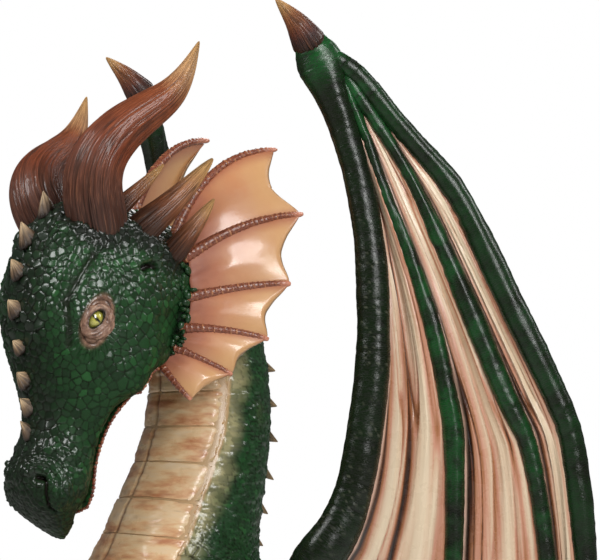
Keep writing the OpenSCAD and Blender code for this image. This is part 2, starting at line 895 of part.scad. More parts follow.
module right_frill_ribs() {
  color(rib_copper)
  right_side() frill_ribs(right_frill_lift);
}

// Wings, in the left side's frame: places lie on an upright sheet through wing_root that leans forward
// at the wrist, as u along the sheet and z
wing_root = [cup_mouth.x + 125, cup_mouth.y + 30];
wing_splay = 42;
wing_out = [sin(wing_splay), cos(wing_splay), 0];
wing_face = [cos(wing_splay), -sin(wing_splay), 0];
wrist_lean = 22;
lean_from = 1080;
lean_span = 300;
function wing_place(u, z) =
  let (lean = wrist_lean * pow(max(0, z - lean_from) / lean_span, 2))
  [wing_root.x, wing_root.y, z] + wing_out * u + wing_face * lean;

// The arm stands on the tenon's seat plate, then follows rows of u, z and the share of its half width
seat_top = cup_mouth + cup_axis * (move_gap + seat_t);
seat_share = 1.6;
arm_foot_h = 45;
arm_foot_share = 1.55;
arm_places = [
  [-62, 435, 1.42], [-24, 481, 1.25], [7, 551, 1.1], [28, 641, 1.03], [46, 775, 1.0], [50, 851, 0.96],
  [50, 929, 0.93], [45, 1026, 0.88], [30, 1126, 0.83], [11, 1204, 0.80], [-13, 1283, 0.84],
  [-34, 1338, 1.08], [-47, 1376, 1.40], [-62, 1408, 1.22], [-79, 1438, 0.84]
];
arm_rows = concat(
  [concat(seat_top, seat_share), concat(seat_top + cup_axis * arm_foot_h, arm_foot_share)],
  [for (r = arm_places) concat(wing_place(r[0], r[1]), r[2])]
);
// Fingers: rows of u, z and the share of the leading finger's half width
inner_rows = [
  [-8, 1350, 0.52], [37, 1243, 0.42], [79, 1124, 0.42], [149, 929, 0.64], [191, 736, 0.74],
  [201, 641, 0.78], [197, 435, 0.66], [180, 290, 0.50], [150, 165, 0.14]
];
middle_rows = [
  [-6, 1362, 0.60], [76, 1243, 0.52], [142, 1124, 0.56], [226, 929, 0.80], [302, 736, 0.80],
  [344, 641, 0.72], [373, 435, 0.62], [372, 290, 0.48], [350, 130, 0.14]
];
leading_rows = [
  [-50, 1402, 0.72], [-10, 1385, 0.78], [33, 1350, 0.80], [84, 1284, 0.84],
  [155, 1202, 0.88], [219, 1124, 0.92], [307, 929, 1.02], [398, 736, 1.0], [426, 641, 0.96],
  [444, 435, 0.86], [440, 290, 0.62], [412, 108, 0.16]
];
arm_thick = 0.8;
hand_thick = 1.05;
arm_steps = 26;
arm_sides = 14;
arm_flatten = 6;

module wing_arm() {
  rows = curve(arm_rows, arm_steps);
  path = [for (r = rows) [r.x, r.y, r.z]];
  wide = [for (r = rows) arm_r * r[3]];
  thick = [for (i = [0 : arm_steps])
    i < arm_flatten ? wide[i] * mix(1, arm_thick, i / arm_flatten) :
    arm_thick * min(wide[i], hand_thick * arm_r)];
  body = limb_rings(path, wide, thick, wing_face, arm_sides);
  foot_u = unit(cross(wing_face, cup_axis));
  foot_v = cross(foot_u, cup_axis);
  foot = [for (j = [0 : arm_sides - 1])
    let (a = 360 * j / arm_sides)
    path[0] + wide[0] * (foot_u * cos(a) + foot_v * sin(a))];
  skin([for (i = [0 : arm_steps]) i == 0 ? foot : body[i]]);
}

finger_steps = 20;
finger_sides = 10;
function finger_path(rows) = [for (r = curve(rows, finger_steps)) wing_place(r[0], r[1])];
module wing_finger(rows) {
  wide = [for (r = curve(rows, finger_steps)) finger_r * r[2]];
  skin(limb_rings(finger_path(rows), wide, wide, wing_face, finger_sides));
}

// The thumb claw stands on the wrist and hooks forward
claw_root = wing_place(-68, 1416);
claw_mid = claw_root + claw_len * [0.03, -0.36, 0.32];
claw_tip = claw_root + claw_len * [0.05, -0.79, 0.59];
claw_share = 1.0;
claw_taper = 0.8;
claw_steps = 8;
claw_sides = 12;
module wing_claw() {
  path = curve([claw_root, claw_mid, claw_tip], claw_steps);
  wide = [for (t = steps(0, 1, claw_steps)) claw_share * arm_r * taper(t, claw_taper)];
  skin(limb_rings(path, wide, wide, wing_face, claw_sides));
}

// Wing skin between two limbs, scooped at its free edge and bowed away from the face
web_cols = 12;
web_rows = 9;
web_edge = 0.03;
web_bow = 14;
web_from = 0.03;
web_to = 0.985;
bow_rise = 2.5;
fold_rise = 3;
// Lengthwise folds of each web, from its arm side to its tip side: place, half width and height
inner_folds = [[0.20, 0.10, 9], [0.36, 0.06, -4], [0.50, 0.08, -12], [0.72, 0.13, 11], [0.96, 0.06, -4]];
middle_folds = [[0.06, 0.08, -10], [0.40, 0.14, 10], [0.60, 0.07, -6], [0.76, 0.10, 8]];
outer_folds = [[0.13, 0.13, -10], [0.68, 0.16, 10]];
function fold_height(folds, l) =
  [for (f = folds) f[2] * exp(-pow((l - f[0]) / f[1], 2))] * [for (f = folds) 1];
function limb_place(points, t) = row_at(points, t * (len(points) - 1));
function finger_edge(rows) = [for (r = rows) wing_place(r[0], r[1])];
// The arm as the first web's edge, from the wrist down to the shoulder
arm_edge = [for (i = [len(arm_rows) - 2 : -1 : 1]) [arm_rows[i].x, arm_rows[i].y, arm_rows[i].z]];
function web_point(a, b, folds, i, j) =
  let (l = mix(web_edge, 1 - web_edge, j / web_cols))
  let (down = i / web_rows)
  let (t = mix(web_from, web_to, down) * (1 - web_scoop / 100 * hollow(l) * down))
  let (bow = web_bow * hollow(l) * min(1, bow_rise * t))
  mix(limb_place(a, t), limb_place(b, t), l)
    + wing_face * (fold_height(folds, l) * min(1, fold_rise * t) - bow);

module wing_web(a, b, folds) {
  grid = [for (i = [0 : web_rows]) [for (j = [0 : web_cols]) web_point(a, b, folds, i, j)]];
  sheet(
    [for (row = grid) [for (p = row) p + wing_face * web_t / 2]],
    [for (row = grid) [for (p = row) p - wing_face * web_t / 2]]
  );
}

// The tenon hangs from a seat plate under the arm and drops into the shoulder cup
seat_r = arm_r * seat_share;
module wing_tenon() {
  at_cup()
    union() {
      translate([0, 0, move_gap])
        cylinder(r = seat_r, h = seat_t, $fn = 64);
      translate([-tenon_w / 2, -tenon_w / 2, -tenon_len])
        cube([tenon_w, tenon_w, tenon_len + move_gap + seat_t / 2]);
    }
}

// The clamp screw bears on the flat of the tenon
knob_h = 0.5 * knob_d;
knob_off = 3;
screw_tip = tenon_w / 2 + move_gap;
knob_lobes = 5;
lobe_pcd = 1.12 * knob_d;
lobe_d = 0.38 * knob_d;
module clamp_knob() {
  at_cup()
    translate([screw_tip, 0, screw_z])
      rotate([0, 90, 0])
        union() {
          cylinder(d = screw_d, h = cup_r - screw_tip + knob_off + knob_h / 2);
          translate([0, 0, cup_r - screw_tip + knob_off])
            difference() {
              cylinder(d = knob_d, h = knob_h);
              ring_of(lobe_pcd, knob_lobes)
                translate([0, 0, -1])
                  cylinder(d = lobe_d, h = knob_h + 2);
            }
        }
}

module left_wing_tenon() {
  color(steel_grey)
  wing_tenon();
}

module right_wing_tenon() {
  color(steel_grey)
  right_side() wing_tenon();
}

module left_wing_arm() {
  color(skin_green)
  wing_arm();
}

module right_wing_arm() {
  color(skin_green)
  right_side() wing_arm();
}

module left_wing_claw() {
  color(horn_brown)
  wing_claw();
}

module right_wing_claw() {
  color(horn_brown)
  right_side() wing_claw();
}

module left_inner_finger() {
  color(skin_green)
  wing_finger(inner_rows);
}

module right_inner_finger() {
  color(skin_green)
  right_side() wing_finger(inner_rows);
}

module left_middle_finger() {
  color(skin_green)
  wing_finger(middle_rows);
}

module right_middle_finger() {
  color(skin_green)
  right_side() wing_finger(middle_rows);
}

module left_leading_finger() {
  color(skin_green)
  wing_finger(leading_rows);
}

module right_leading_finger() {
  color(skin_green)
  right_side() wing_finger(leading_rows);
}

module left_inner_web() {
  color(web_cream)
  wing_web(arm_edge, finger_edge(inner_rows), inner_folds);
}

module right_inner_web() {
  color(web_cream)
  right_side() wing_web(arm_edge, finger_edge(inner_rows), inner_folds);
}

module left_middle_web() {
  color(web_cream)
  wing_web(finger_edge(inner_rows), finger_edge(middle_rows), middle_folds);
}

module right_middle_web() {
  color(web_cream)
  right_side() wing_web(finger_edge(inner_rows), finger_edge(middle_rows), middle_folds);
}

module left_outer_web() {
  color(web_cream)
  wing_web(finger_edge(middle_rows), finger_edge(leading_rows), outer_folds);
}

module right_outer_web() {
  color(web_cream)
  right_side() wing_web(finger_edge(middle_rows), finger_edge(leading_rows), outer_folds);
}

module left_clamp_knob() {
  color(knob_black)
  clamp_knob();
}

module right_clamp_knob() {
  color(knob_black)
  right_side() clamp_knob();
}

base_plate();
foot_brackets();
mast_tube();
mast_cap();
neck_tube();
neck_bulkhead();
head_bulkhead();
joint_bolts_set();
left_brace();
right_brace();
left_shoulder_cup();
right_shoulder_cup();
chest_shell();
chest_plates();
neck_shell();
neck_band();
throat_plates();
neck_spines();
head_shell();
lower_jaw();
left_eye();
right_eye();
left_eyelids();
right_eyelids();
left_horn();
right_horn();
left_temple_horns();
right_temple_horns();
ridge_spikes();
nape_spines();
left_frill();
right_frill();
left_frill_ribs();
right_frill_ribs();
left_wing_tenon();
left_wing_arm();
left_wing_claw();
left_inner_finger();
left_middle_finger();
left_leading_finger();
left_inner_web();
left_middle_web();
left_outer_web();
left_clamp_knob();
right_wing_tenon();
right_wing_arm();
right_wing_claw();
right_inner_finger();
right_middle_finger();
right_leading_finger();
right_inner_web();
right_middle_web();
right_outer_web();
right_clamp_knob();
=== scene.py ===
import json
import math
from contextlib import contextmanager
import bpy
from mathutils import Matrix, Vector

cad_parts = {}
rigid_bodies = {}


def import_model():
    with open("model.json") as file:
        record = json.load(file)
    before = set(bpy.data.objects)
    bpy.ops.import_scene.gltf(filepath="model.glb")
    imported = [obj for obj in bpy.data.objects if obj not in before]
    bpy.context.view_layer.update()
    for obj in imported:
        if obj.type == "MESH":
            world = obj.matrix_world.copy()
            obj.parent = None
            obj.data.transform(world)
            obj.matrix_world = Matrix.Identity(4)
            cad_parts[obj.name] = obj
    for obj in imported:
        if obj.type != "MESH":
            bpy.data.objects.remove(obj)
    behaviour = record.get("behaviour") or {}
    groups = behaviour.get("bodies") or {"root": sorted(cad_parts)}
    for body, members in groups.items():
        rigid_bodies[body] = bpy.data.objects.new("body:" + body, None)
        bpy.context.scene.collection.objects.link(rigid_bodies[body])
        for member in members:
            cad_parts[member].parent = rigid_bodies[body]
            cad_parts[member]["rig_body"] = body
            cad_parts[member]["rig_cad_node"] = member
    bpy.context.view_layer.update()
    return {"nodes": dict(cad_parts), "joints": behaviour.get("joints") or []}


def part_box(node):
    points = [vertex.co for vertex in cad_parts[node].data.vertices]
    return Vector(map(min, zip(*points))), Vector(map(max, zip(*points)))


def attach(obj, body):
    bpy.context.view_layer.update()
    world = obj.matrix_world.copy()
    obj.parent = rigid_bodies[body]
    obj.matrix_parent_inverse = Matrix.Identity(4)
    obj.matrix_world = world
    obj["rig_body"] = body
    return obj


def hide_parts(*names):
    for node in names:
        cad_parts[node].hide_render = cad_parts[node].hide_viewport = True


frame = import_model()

from types import SimpleNamespace

import bpy
import numpy as np
from mathutils import Vector, kdtree

NODES = frame["nodes"]
# The sides of the body, with the sign of x there
SIDES = {"left": 1, "right": -1}
WEBS = ("inner", "middle", "outer")
MM = 0.001

# Middle of the statue's body from the base to the nose, as (y, z) in mm
BODY_LINE = [
    (-6, 20), (-15, 217), (-16, 315), (-15, 387), (-11, 443), (13, 522), (38, 600), (60, 682), (63, 770),
    (52, 842), (24, 905), (-32, 946), (-87, 960), (-152, 965), (-204, 952), (-245, 912), (-273, 871),
    (-290, 828), (-296, 783), (-296, 737), (-293, 689), (-294, 649), (-300, 613), (-314, 580), (-316, 548),
    (-307, 520), (-291, 498), (-280, 484),
]
# Rows of that line where the neck, the head and the nose begin
CHEST_TOP = 4
HEAD_FOOT = 9
NOSE_FROM = 20


# Numbers over the surface


def smooth(low, high, value):
    """A soft step from 0 at low to 1 at high."""
    part = np.clip((value - low) / (high - low), 0, 1)
    return part * part * (3 - 2 * part)


def hill(value, middle, half):
    """A soft bump of height 1 round the middle."""
    return np.exp(-(((value - middle) / half) ** 2))


CELL_PRIMES = (73856093, 19349663, 83492791)
SEED_PRIME = 2654435761
MIXING_PRIME = 1274126177
LARGEST = 0xFFFFFF


def fixed_random(cells, seed):
    """One fixed number from 0 to 1 for each whole-numbered cell."""
    x, y, z = (cells[:, i] * prime for i, prime in enumerate(CELL_PRIMES))
    mixed = x ^ y ^ z ^ seed * SEED_PRIME
    mixed = (mixed ^ (mixed >> 13)) * MIXING_PRIME
    mixed = (mixed ^ (mixed >> 16)) & LARGEST
    return mixed / LARGEST


def noise(points, size, seed=0):
    """Soft noise from -1 to 1 whose lumps are about the given size."""
    grid = np.asarray(points) / size
    low = np.floor(grid).astype(np.int64)
    part = grid - low
    part = part * part * (3 - 2 * part)
    total = np.zeros(len(grid))
    for corner in range(8):
        step = np.array([corner & 1, corner >> 1 & 1, corner >> 2 & 1])
        weight = np.prod(np.where(step == 1, part, 1 - part), axis=1)
        total += weight * fixed_random(low + step, seed)
    return total * 2 - 1


def near_path(points, path):
    """Distance of each point from a path, and how far along the path its nearest point lies, from 0 to 1."""
    path = np.asarray(path, float)
    best = np.full(len(points), 1e9)
    where = np.zeros(len(points))
    legs = np.linalg.norm(np.diff(path, axis=0), axis=1)
    start = np.concatenate([[0], np.cumsum(legs)])
    for i, leg in enumerate(legs):
        along = (path[i + 1] - path[i]) / leg
        part = np.clip((points - path[i]) @ along, 0, leg)
        away = np.linalg.norm(points - path[i] - part[:, None] * along, axis=1)
        nearer = away < best
        best[nearer] = away[nearer]
        where[nearer] = (start[i] + part[nearer]) / start[-1]
    return best, where


def places(piece):
    """Where each vertex of a piece is."""
    co = np.empty(len(piece.data.vertices) * 3)
    piece.data.vertices.foreach_get("co", co)
    return co.reshape(-1, 3)


def set_places(piece, co):
    """Moves each vertex of a piece to its own place."""
    piece.data.vertices.foreach_set("co", np.ascontiguousarray(co).ravel())
    piece.data.update()


def outward(piece):
    """The way out of the surface at each vertex."""
    normals = np.empty(len(piece.data.vertices) * 3, np.float32)
    piece.data.vertex_normals.foreach_get("vector", normals)
    return normals.reshape(-1, 3).astype(float)


def swell(piece, height):
    """Moves each vertex out of the surface by its own height."""
    set_places(piece, places(piece) + outward(piece) * height[:, None])


def mark(piece, name, values):
    """Writes one number per vertex, for the paint to read."""
    marks = piece.data.attributes.get(name) or piece.data.attributes.new(name, "FLOAT", "POINT")
    marks.data.foreach_set("value", np.asarray(values, np.float32))


def marked(piece, name):
    """Reads the numbers that mark wrote."""
    values = np.empty(len(piece.data.vertices), np.float32)
    piece.data.attributes[name].data.foreach_get("value", values)
    return values.astype(float)


# Handling pieces


def only(piece):
    """Selects one piece and makes it the active one."""
    bpy.ops.object.select_all(action="DESELECT")
    piece.select_set(True)
    bpy.context.view_layer.objects.active = piece


@contextmanager
def editing(piece, action=None):
    """Edit mode on one piece, with all of its mesh selected, or none, or what is picked already."""
    only(piece)
    bpy.ops.object.mode_set(mode="EDIT")
    if action:
        bpy.ops.mesh.select_mode(type="VERT")
        bpy.ops.mesh.select_all(action=action)
    yield
    bpy.ops.object.mode_set(mode="OBJECT")


def pick(piece, kind, wanted):
    """Selects some faces or edges of a piece, and nothing else."""
    with editing(piece, "DESELECT"):
        bpy.ops.mesh.select_mode(type=kind)
    parts = piece.data.polygons if kind == "FACE" else piece.data.edges
    parts.foreach_set("select", wanted)


def drop_faces(piece, wanted):
    """Deletes some faces of a piece."""
    pick(piece, "FACE", wanted)
    with editing(piece):
        bpy.ops.mesh.delete(type="FACE")


def join_pieces(pieces, name):
    """Makes one piece of several."""
    bpy.ops.object.select_all(action="DESELECT")
    for piece in pieces:
        piece.select_set(True)
    bpy.context.view_layer.objects.active = pieces[0]
    bpy.ops.object.join()
    joined = bpy.context.active_object
    joined.name = name
    return joined


def apply_modifier(piece, kind, **options):
    """Adds a modifier, sets it up and applies it."""
    only(piece)
    modifier = piece.modifiers.new(kind, kind)
    for key, value in options.items():
        setattr(modifier, key, value)
    bpy.ops.object.modifier_apply(modifier=modifier.name)


def copy_node(node, name):
    """Copies a solid as a merged mesh of its own, free of the body it rides on."""
    only(NODES[node])
    bpy.ops.object.duplicate()
    piece = bpy.context.active_object
    piece.name = name
    piece.data.name = name
    piece.parent = None
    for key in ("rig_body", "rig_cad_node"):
        del piece[key]
    piece.data.materials.clear()
    bpy.ops.mesh.customdata_custom_splitnormals_clear()
    with editing(piece, "SELECT"):
        bpy.ops.mesh.remove_doubles(threshold=0.00001)
    return piece


def crease_corners(piece, sharper_than, amount):
    """Keeps the edges of a thin plate from shrinking when it is rounded."""
    mesh = piece.data
    sides = {}
    for face in mesh.polygons:
        for edge in face.edge_keys:
            sides.setdefault(edge, []).append(face.normal)
    limit = math.cos(math.radians(sharper_than))
    sharp = [
        amount if len(sides[edge.key]) == 2 and sides[edge.key][0].dot(sides[edge.key][1]) < limit else 0.0
        for edge in mesh.edges
    ]
    mesh.attributes.new("crease_edge", "FLOAT", "EDGE").data.foreach_set("value", sharp)


def soften(piece, levels):
    """Joins triangle pairs and rounds the faceted form."""
    with editing(piece, "SELECT"):
        bpy.ops.mesh.tris_convert_to_quads(face_threshold=math.radians(70), shape_threshold=math.radians(60))
    apply_modifier(piece, "SUBSURF", levels=levels, render_levels=levels)


def bevelled_copy(node, name, width):
    """A copy of a machined solid with its sharp edges broken."""
    piece = copy_node(node, name)
    sharp = math.radians(35)
    apply_modifier(piece, "BEVEL", width=width, segments=3, limit_method="ANGLE", angle_limit=sharp)
    return piece


def finish_piece(piece, body, slot, material, *nodes, flat_above=None):
    """Shades a piece, paints it, puts it on the body that carries it, and hides the solids it stands for."""
    only(piece)
    if flat_above is None:
        bpy.ops.object.shade_smooth()
    else:
        bpy.ops.object.shade_smooth_by_angle(angle=math.radians(flat_above))
    piece.data.materials.clear()
    piece.data.materials.append(material)
    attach(piece, body)
    if nodes:
        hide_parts(*nodes)
    return piece


# Horns, spikes, ribs and wing bones: tapered limbs made of rings from root to tip


def vertex_links(mesh):
    """The neighbours of each vertex."""
    links = [[] for _ in mesh.vertices]
    for edge in mesh.edges:
        a, b = edge.vertices
        links[a].append(b)
        links[b].append(a)
    return links


def rings_from(links, hub):
    """Rings of vertices, walking out from the middle of an end cap."""
    seen = {hub}
    rings = [[hub]]
    while True:
        ahead = []
        for vertex in rings[-1]:
            for other in links[vertex]:
                if other not in seen:
                    seen.add(other)
                    ahead.append(other)
        if not ahead:
            return rings
        rings.append(ahead)


# An end cap's middle has at least this many neighbours
CAP_LINKS = 8


TURN_START = np.array([0.3, 0.2, 0.93])


def limb_line(co, rings):
    """The rings of one limb from root to tip, with their middles, widths and way along."""
    middles = np.array([co[ring].mean(0) for ring in rings])
    widths = np.array([np.linalg.norm(co[ring] - m, axis=1).mean() for ring, m in zip(rings, middles)])
    if widths[1] < widths[-2]:
        rings, middles, widths = rings[::-1], middles[::-1], widths[::-1]
    reach = np.concatenate([[0], np.cumsum(np.linalg.norm(np.diff(middles, axis=0), axis=1))])
    return rings, {"middles": middles, "reach": reach, "widths": widths}


def measure_limb(co, rings, line, marks):
    """Marks the way along one limb and the turn round it, which runs on without a twist."""
    middles = line["middles"]
    reach = line["reach"]
    last = len(rings) - 1
    rounding_loss = 3 / (2 + math.cos(2 * math.pi / len(rings[1]))) - 1
    side = TURN_START
    for k, ring in enumerate(rings):
        along = middles[min(k + 1, last)] - middles[max(k - 1, 0)]
        along /= np.linalg.norm(along)
        side = side - along * (side @ along)
        side /= np.linalg.norm(side)
        out = co[ring] - middles[k]
        length = np.maximum(np.linalg.norm(out, axis=1), 1e-6)
        marks["turn_x"][ring] = out @ side / length
        marks["turn_y"][ring] = out @ np.cross(along, side) / length
        marks["run"][ring] = reach[k]
        marks["share"][ring] = reach[k] / reach[-1]
        marks["grow"][ring] = line["widths"][k] * rounding_loss


LIMB_MARKS = ("run", "share", "turn_x", "turn_y", "limb", "grow", "crease_vert")


def measure_limbs(piece, sink):
    """Measures every limb of a piece and sinks its root deeper. Returns the middle line of each."""
    links = vertex_links(piece.data)
    co = places(piece)
    marks = {name: np.zeros(len(co)) for name in LIMB_MARKS}
    done = set()
    lines = []
    for hub in [v for v in range(len(co)) if len(links[v]) >= CAP_LINKS]:
        if hub in done:
            continue
        rings, line = limb_line(co, rings_from(links, hub))
        limb = [v for ring in rings for v in ring]
        done.update(limb)
        measure_limb(co, rings, line, marks)
        marks["limb"][limb] = len(lines)
        marks["crease_vert"][[rings[0][0], rings[-1][0]]] = 1
        inward = line["middles"][1] - line["middles"][2]
        co[rings[0] + rings[1]] += inward / np.linalg.norm(inward) * sink
        lines.append(line)
    for name, values in marks.items():
        mark(piece, name, values)
    set_places(piece, co)
    return lines


def cut_limb(piece, cuts, lengthwise):
    """Cuts a limb's faces finer, along it or round it."""
    if cuts == 0:
        return
    mesh = piece.data
    ends = np.empty(len(mesh.edges) * 2, int)
    mesh.edges.foreach_get("vertices", ends)
    start, end = ends.reshape(-1, 2).T
    co = places(piece)
    run = marked(piece, "run")
    along = np.abs(run[start] - run[end]) > 0.5 * np.linalg.norm(co[start] - co[end], axis=1)
    pick(piece, "EDGE", along if lengthwise else ~along)
    with editing(piece):
        bpy.ops.mesh.subdivide(number_cuts=cuts, quadcorner="STRAIGHT_CUT")


def limb_piece(node, name, levels, sink=0.0, along=0, round_it=0):
    """A rounded copy of limbs that keeps their full width, with extra cuts along and round it."""
    piece = copy_node(node, name)
    lines = measure_limbs(piece, sink)
    soften(piece, levels)
    swell(piece, marked(piece, "grow"))
    for helper in ("grow", "crease_vert"):
        piece.data.attributes.remove(piece.data.attributes[helper])
    cut_limb(piece, along, True)
    cut_limb(piece, round_it, False)
    return piece, lines


LIMB_APART = 7.3


def limb_grid(piece, fineness, stretch):
    """A place on each limb's surface, fine round the limb and stretched along it."""
    return np.column_stack([
        marked(piece, "turn_x") * fineness + marked(piece, "limb") * LIMB_APART,
        marked(piece, "turn_y") * fineness,
        marked(piece, "run") / stretch,
    ])


def cut_grain(piece, depth, fineness, stretch, seed):
    """Cuts grooves that run lengthwise, like horn fibre, deep at the root and finer towards the tip."""
    share = marked(piece, "share")
    groove = np.zeros(len(share))
    for layer, (fine, deep) in enumerate(((1.0, 1.0), (2.6, 0.45))):
        grid = limb_grid(piece, fineness * fine, stretch)
        wander = noise(grid * [0.4, 0.4, 1.0], 1.0, seed + 1)
        fibre = noise(grid + wander[:, None] * 0.4, 1.0, seed + layer)
        groove = np.maximum(groove, smooth(0.5, 1.0, 1 - np.abs(fibre) * 1.7) * deep)
    deeper = (1 - 0.8 * share) * (1 + 0.9 * smooth(0.3, 0.08, share))
    swell(piece, -groove * depth * deeper)
    mark(piece, "groove", groove)


# Paint


def tint(red, green, blue):
    """A colour of the paint box, from screen values."""
    values = np.array([red, green, blue]) / 255
    linear = np.where(values <= 0.04045, values / 12.92, ((values + 0.055) / 1.055) ** 2.4)
    return (*linear.tolist(), 1.0)


def add(tree, kind, values=None, **options):
    """Adds a node, sets its options, and sets or links its inputs."""
    node = tree.nodes.new(kind)
    for key, value in options.items():
        setattr(node, key, value)
    for key, value in (values or {}).items():
        if isinstance(value, bpy.types.NodeSocket):
            tree.links.new(value, node.inputs[key])
        else:
            node.inputs[key].default_value = value
    return node


def surface_mark(tree, name):
    """A mark that the piece carries on its vertices."""
    return add(tree, "ShaderNodeAttribute", attribute_name=name).outputs["Fac"]


def place_on(tree):
    """The place of each point on the piece."""
    return add(tree, "ShaderNodeTexCoord").outputs["Object"]


def maths(tree, operation, first, second, clamp=False):
    """Adds, multiplies or compares two values."""
    values = {0: first, 1: second}
    return add(tree, "ShaderNodeMath", values, operation=operation, use_clamp=clamp).outputs[0]


def blend_of(tree, share, first, second):
    """A mix of two colours, with a share of the second."""
    values = {0: share, 6: first, 7: second}
    return add(tree, "ShaderNodeMix", values, data_type="RGBA").outputs[2]


def between(tree, value, low, high, start=0.0, end=1.0):
    """A value spread softly from start to end, as it goes from low to high."""
    values = {"Value": value, "From Min": low, "From Max": high, "To Min": start, "To Max": end}
    return add(tree, "ShaderNodeMapRange", values, interpolation_type="SMOOTHSTEP").outputs[0]


def uneven(tree, pattern, start, end):
    """The middle range of a noise pattern, spread from start to end."""
    return between(tree, pattern, 0.3, 0.7, start, end)


def pushed(tree, way, pattern, amount):
    """A value pushed up and down by a noise pattern."""
    push = maths(tree, "MULTIPLY", maths(tree, "SUBTRACT", pattern, 0.5), amount)
    return maths(tree, "ADD", way, push)


def lumps(tree, place, scale, detail=3.0, roughness=0.55, stretch=None):
    """A noise pattern."""
    if stretch:
        place = add(tree, "ShaderNodeMapping", {"Vector": place, "Scale": stretch}).outputs[0]
    values = {"Vector": place, "Scale": scale, "Detail": detail, "Roughness": roughness}
    return add(tree, "ShaderNodeTexNoise", values).outputs["Fac"]


def colour_steps(tree, value, steps):
    """Colours along a value from 0 to 1."""
    node = add(tree, "ShaderNodeValToRGB", {"Fac": value})
    ramp = node.color_ramp
    while len(ramp.elements) < len(steps):
        ramp.elements.new(0.5)
    for element, (at, colour) in zip(ramp.elements, steps):
        element.position = at
        element.color = colour
    return node.outputs["Color"]


def new_group(name, inputs, outputs):
    """A shared effect with named inputs and outputs."""
    group = bpy.data.node_groups.new(name, "ShaderNodeTree")
    for label, kind in inputs:
        group.interface.new_socket(label, in_out="INPUT", socket_type="NodeSocket" + kind)
    for label, kind in outputs:
        group.interface.new_socket(label, in_out="OUTPUT", socket_type="NodeSocket" + kind)
    source = group.nodes.new("NodeGroupInput").outputs
    result = group.nodes.new("NodeGroupOutput").inputs
    return group, source, result


def use_group(tree, group, values):
    """Uses a shared effect. Returns its outputs."""
    return add(tree, "ShaderNodeGroup", values, node_tree=group).outputs


def shader_inputs(tree):
    """The sockets of a material's paint."""
    return tree.nodes["Principled BSDF"].inputs


def new_material(name, roughness, coat=0.0, coat_roughness=0.1, specular=0.5):
    """A material and its node tree."""
    material = bpy.data.materials.new(name)
    material.use_nodes = True
    inputs = shader_inputs(material.node_tree)
    inputs["Roughness"].default_value = roughness
    inputs["Coat Weight"].default_value = coat
    inputs["Coat Roughness"].default_value = coat_roughness
    inputs["Specular IOR Level"].default_value = specular
    return material, material.node_tree


def lay_paint(material, colour, roughness=None, relief=None):
    """Gives a material its colour, roughness and fine relief: a pattern, its strength and its depth."""
    tree = material.node_tree
    inputs = shader_inputs(tree)
    tree.links.new(colour, inputs["Base Color"])
    if roughness is not None:
        tree.links.new(roughness, inputs["Roughness"])
    if relief is not None:
        pattern, strength, depth = relief
        values = {"Height": pattern, "Strength": strength, "Distance": depth}
        tree.links.new(add(tree, "ShaderNodeBump", values).outputs["Normal"], inputs["Normal"])
    return material


def make_groove_shade():
    """Painted shade that darkens the grooves, broken up in patches."""
    group, source, result = new_group(
        "painted_groove_shade",
        [("Colour", "Color"), ("Shade Colour", "Color"), ("Groove", "Float"), ("Patch Size", "Float"),
         ("Amount", "Float")],
        [("Colour", "Color")],
    )
    patch = lumps(group, place_on(group), source["Patch Size"], 4.0, 0.6)
    patch = between(group, patch, 0.25, 0.7, 0.45, 1.0)
    mask = maths(group, "MULTIPLY", source["Groove"], patch)
    mask = maths(group, "MULTIPLY", mask, source["Amount"], clamp=True)
    group.links.new(blend_of(group, mask, source["Colour"], source["Shade Colour"]), result["Colour"])
    return group


def make_grain():
    """Brush strokes that run along a limb."""
    group, source, result = new_group(
        "limb_grain",
        [("Run", "Float"), ("Turn X", "Float"), ("Turn Y", "Float"), ("Limb", "Float"),
         ("Fineness", "Float"), ("Along", "Float")],
        [("Mask", "Float"), ("Fine", "Float")],
    )
    x = maths(group, "MULTIPLY", source["Turn X"], source["Fineness"])
    x = maths(group, "ADD", x, source["Limb"])
    y = maths(group, "MULTIPLY", source["Turn Y"], source["Fineness"])
    z = maths(group, "MULTIPLY", source["Run"], source["Along"])
    place = add(group, "ShaderNodeCombineXYZ", {0: x, 1: y, 2: z}).outputs[0]
    group.links.new(between(group, lumps(group, place, 1.0, 4.0, 0.6), 0.35, 0.65), result["Mask"])
    group.links.new(lumps(group, place, 3.5, 3.0, 0.6), result["Fine"])
    return group


def make_dabs():
    """Two paints dabbed over each other."""
    group, source, result = new_group(
        "dabbed_paint",
        [("Under", "Color"), ("Over", "Color"), ("Scale", "Float"), ("Cover", "Float")],
        [("Colour", "Color")],
    )
    dabs = lumps(group, place_on(group), source["Scale"], 5.0, 0.62)
    low = maths(group, "SUBTRACT", 1.0, source["Cover"])
    cover = between(group, dabs, low, maths(group, "ADD", low, 0.2))
    group.links.new(blend_of(group, cover, source["Under"], source["Over"]), result["Colour"])
    return group


GROOVE_SHADE = make_groove_shade()
GRAIN = make_grain()
DABS = make_dabs()

GREEN_DARK = tint(20, 46, 22)
GREEN = tint(26, 60, 29)
GREEN_LIGHT = tint(34, 80, 38)
GREEN_BLACK = tint(13, 18, 10)
OLIVE = tint(44, 54, 26)
UMBER = tint(30, 18, 10)
BROWN = tint(84, 46, 28)
TAN = tint(196, 150, 104)
GOLD_TAN = tint(204, 158, 100)
CREAM = tint(214, 190, 158)
PINK = tint(190, 136, 112)
ROSE = tint(150, 92, 76)
ORANGE_BROWN = tint(160, 106, 70)
BLACK = tint(12, 10, 8)


def limb_strokes(tree, fineness, along):
    """Brush strokes along a limb: a broad pattern, Mask, and a fine one, Fine."""
    return use_group(tree, GRAIN, {
        "Run": surface_mark(tree, "run"),
        "Turn X": surface_mark(tree, "turn_x"),
        "Turn Y": surface_mark(tree, "turn_y"),
        "Limb": surface_mark(tree, "limb"),
        "Fineness": fineness,
        "Along": along,
    })


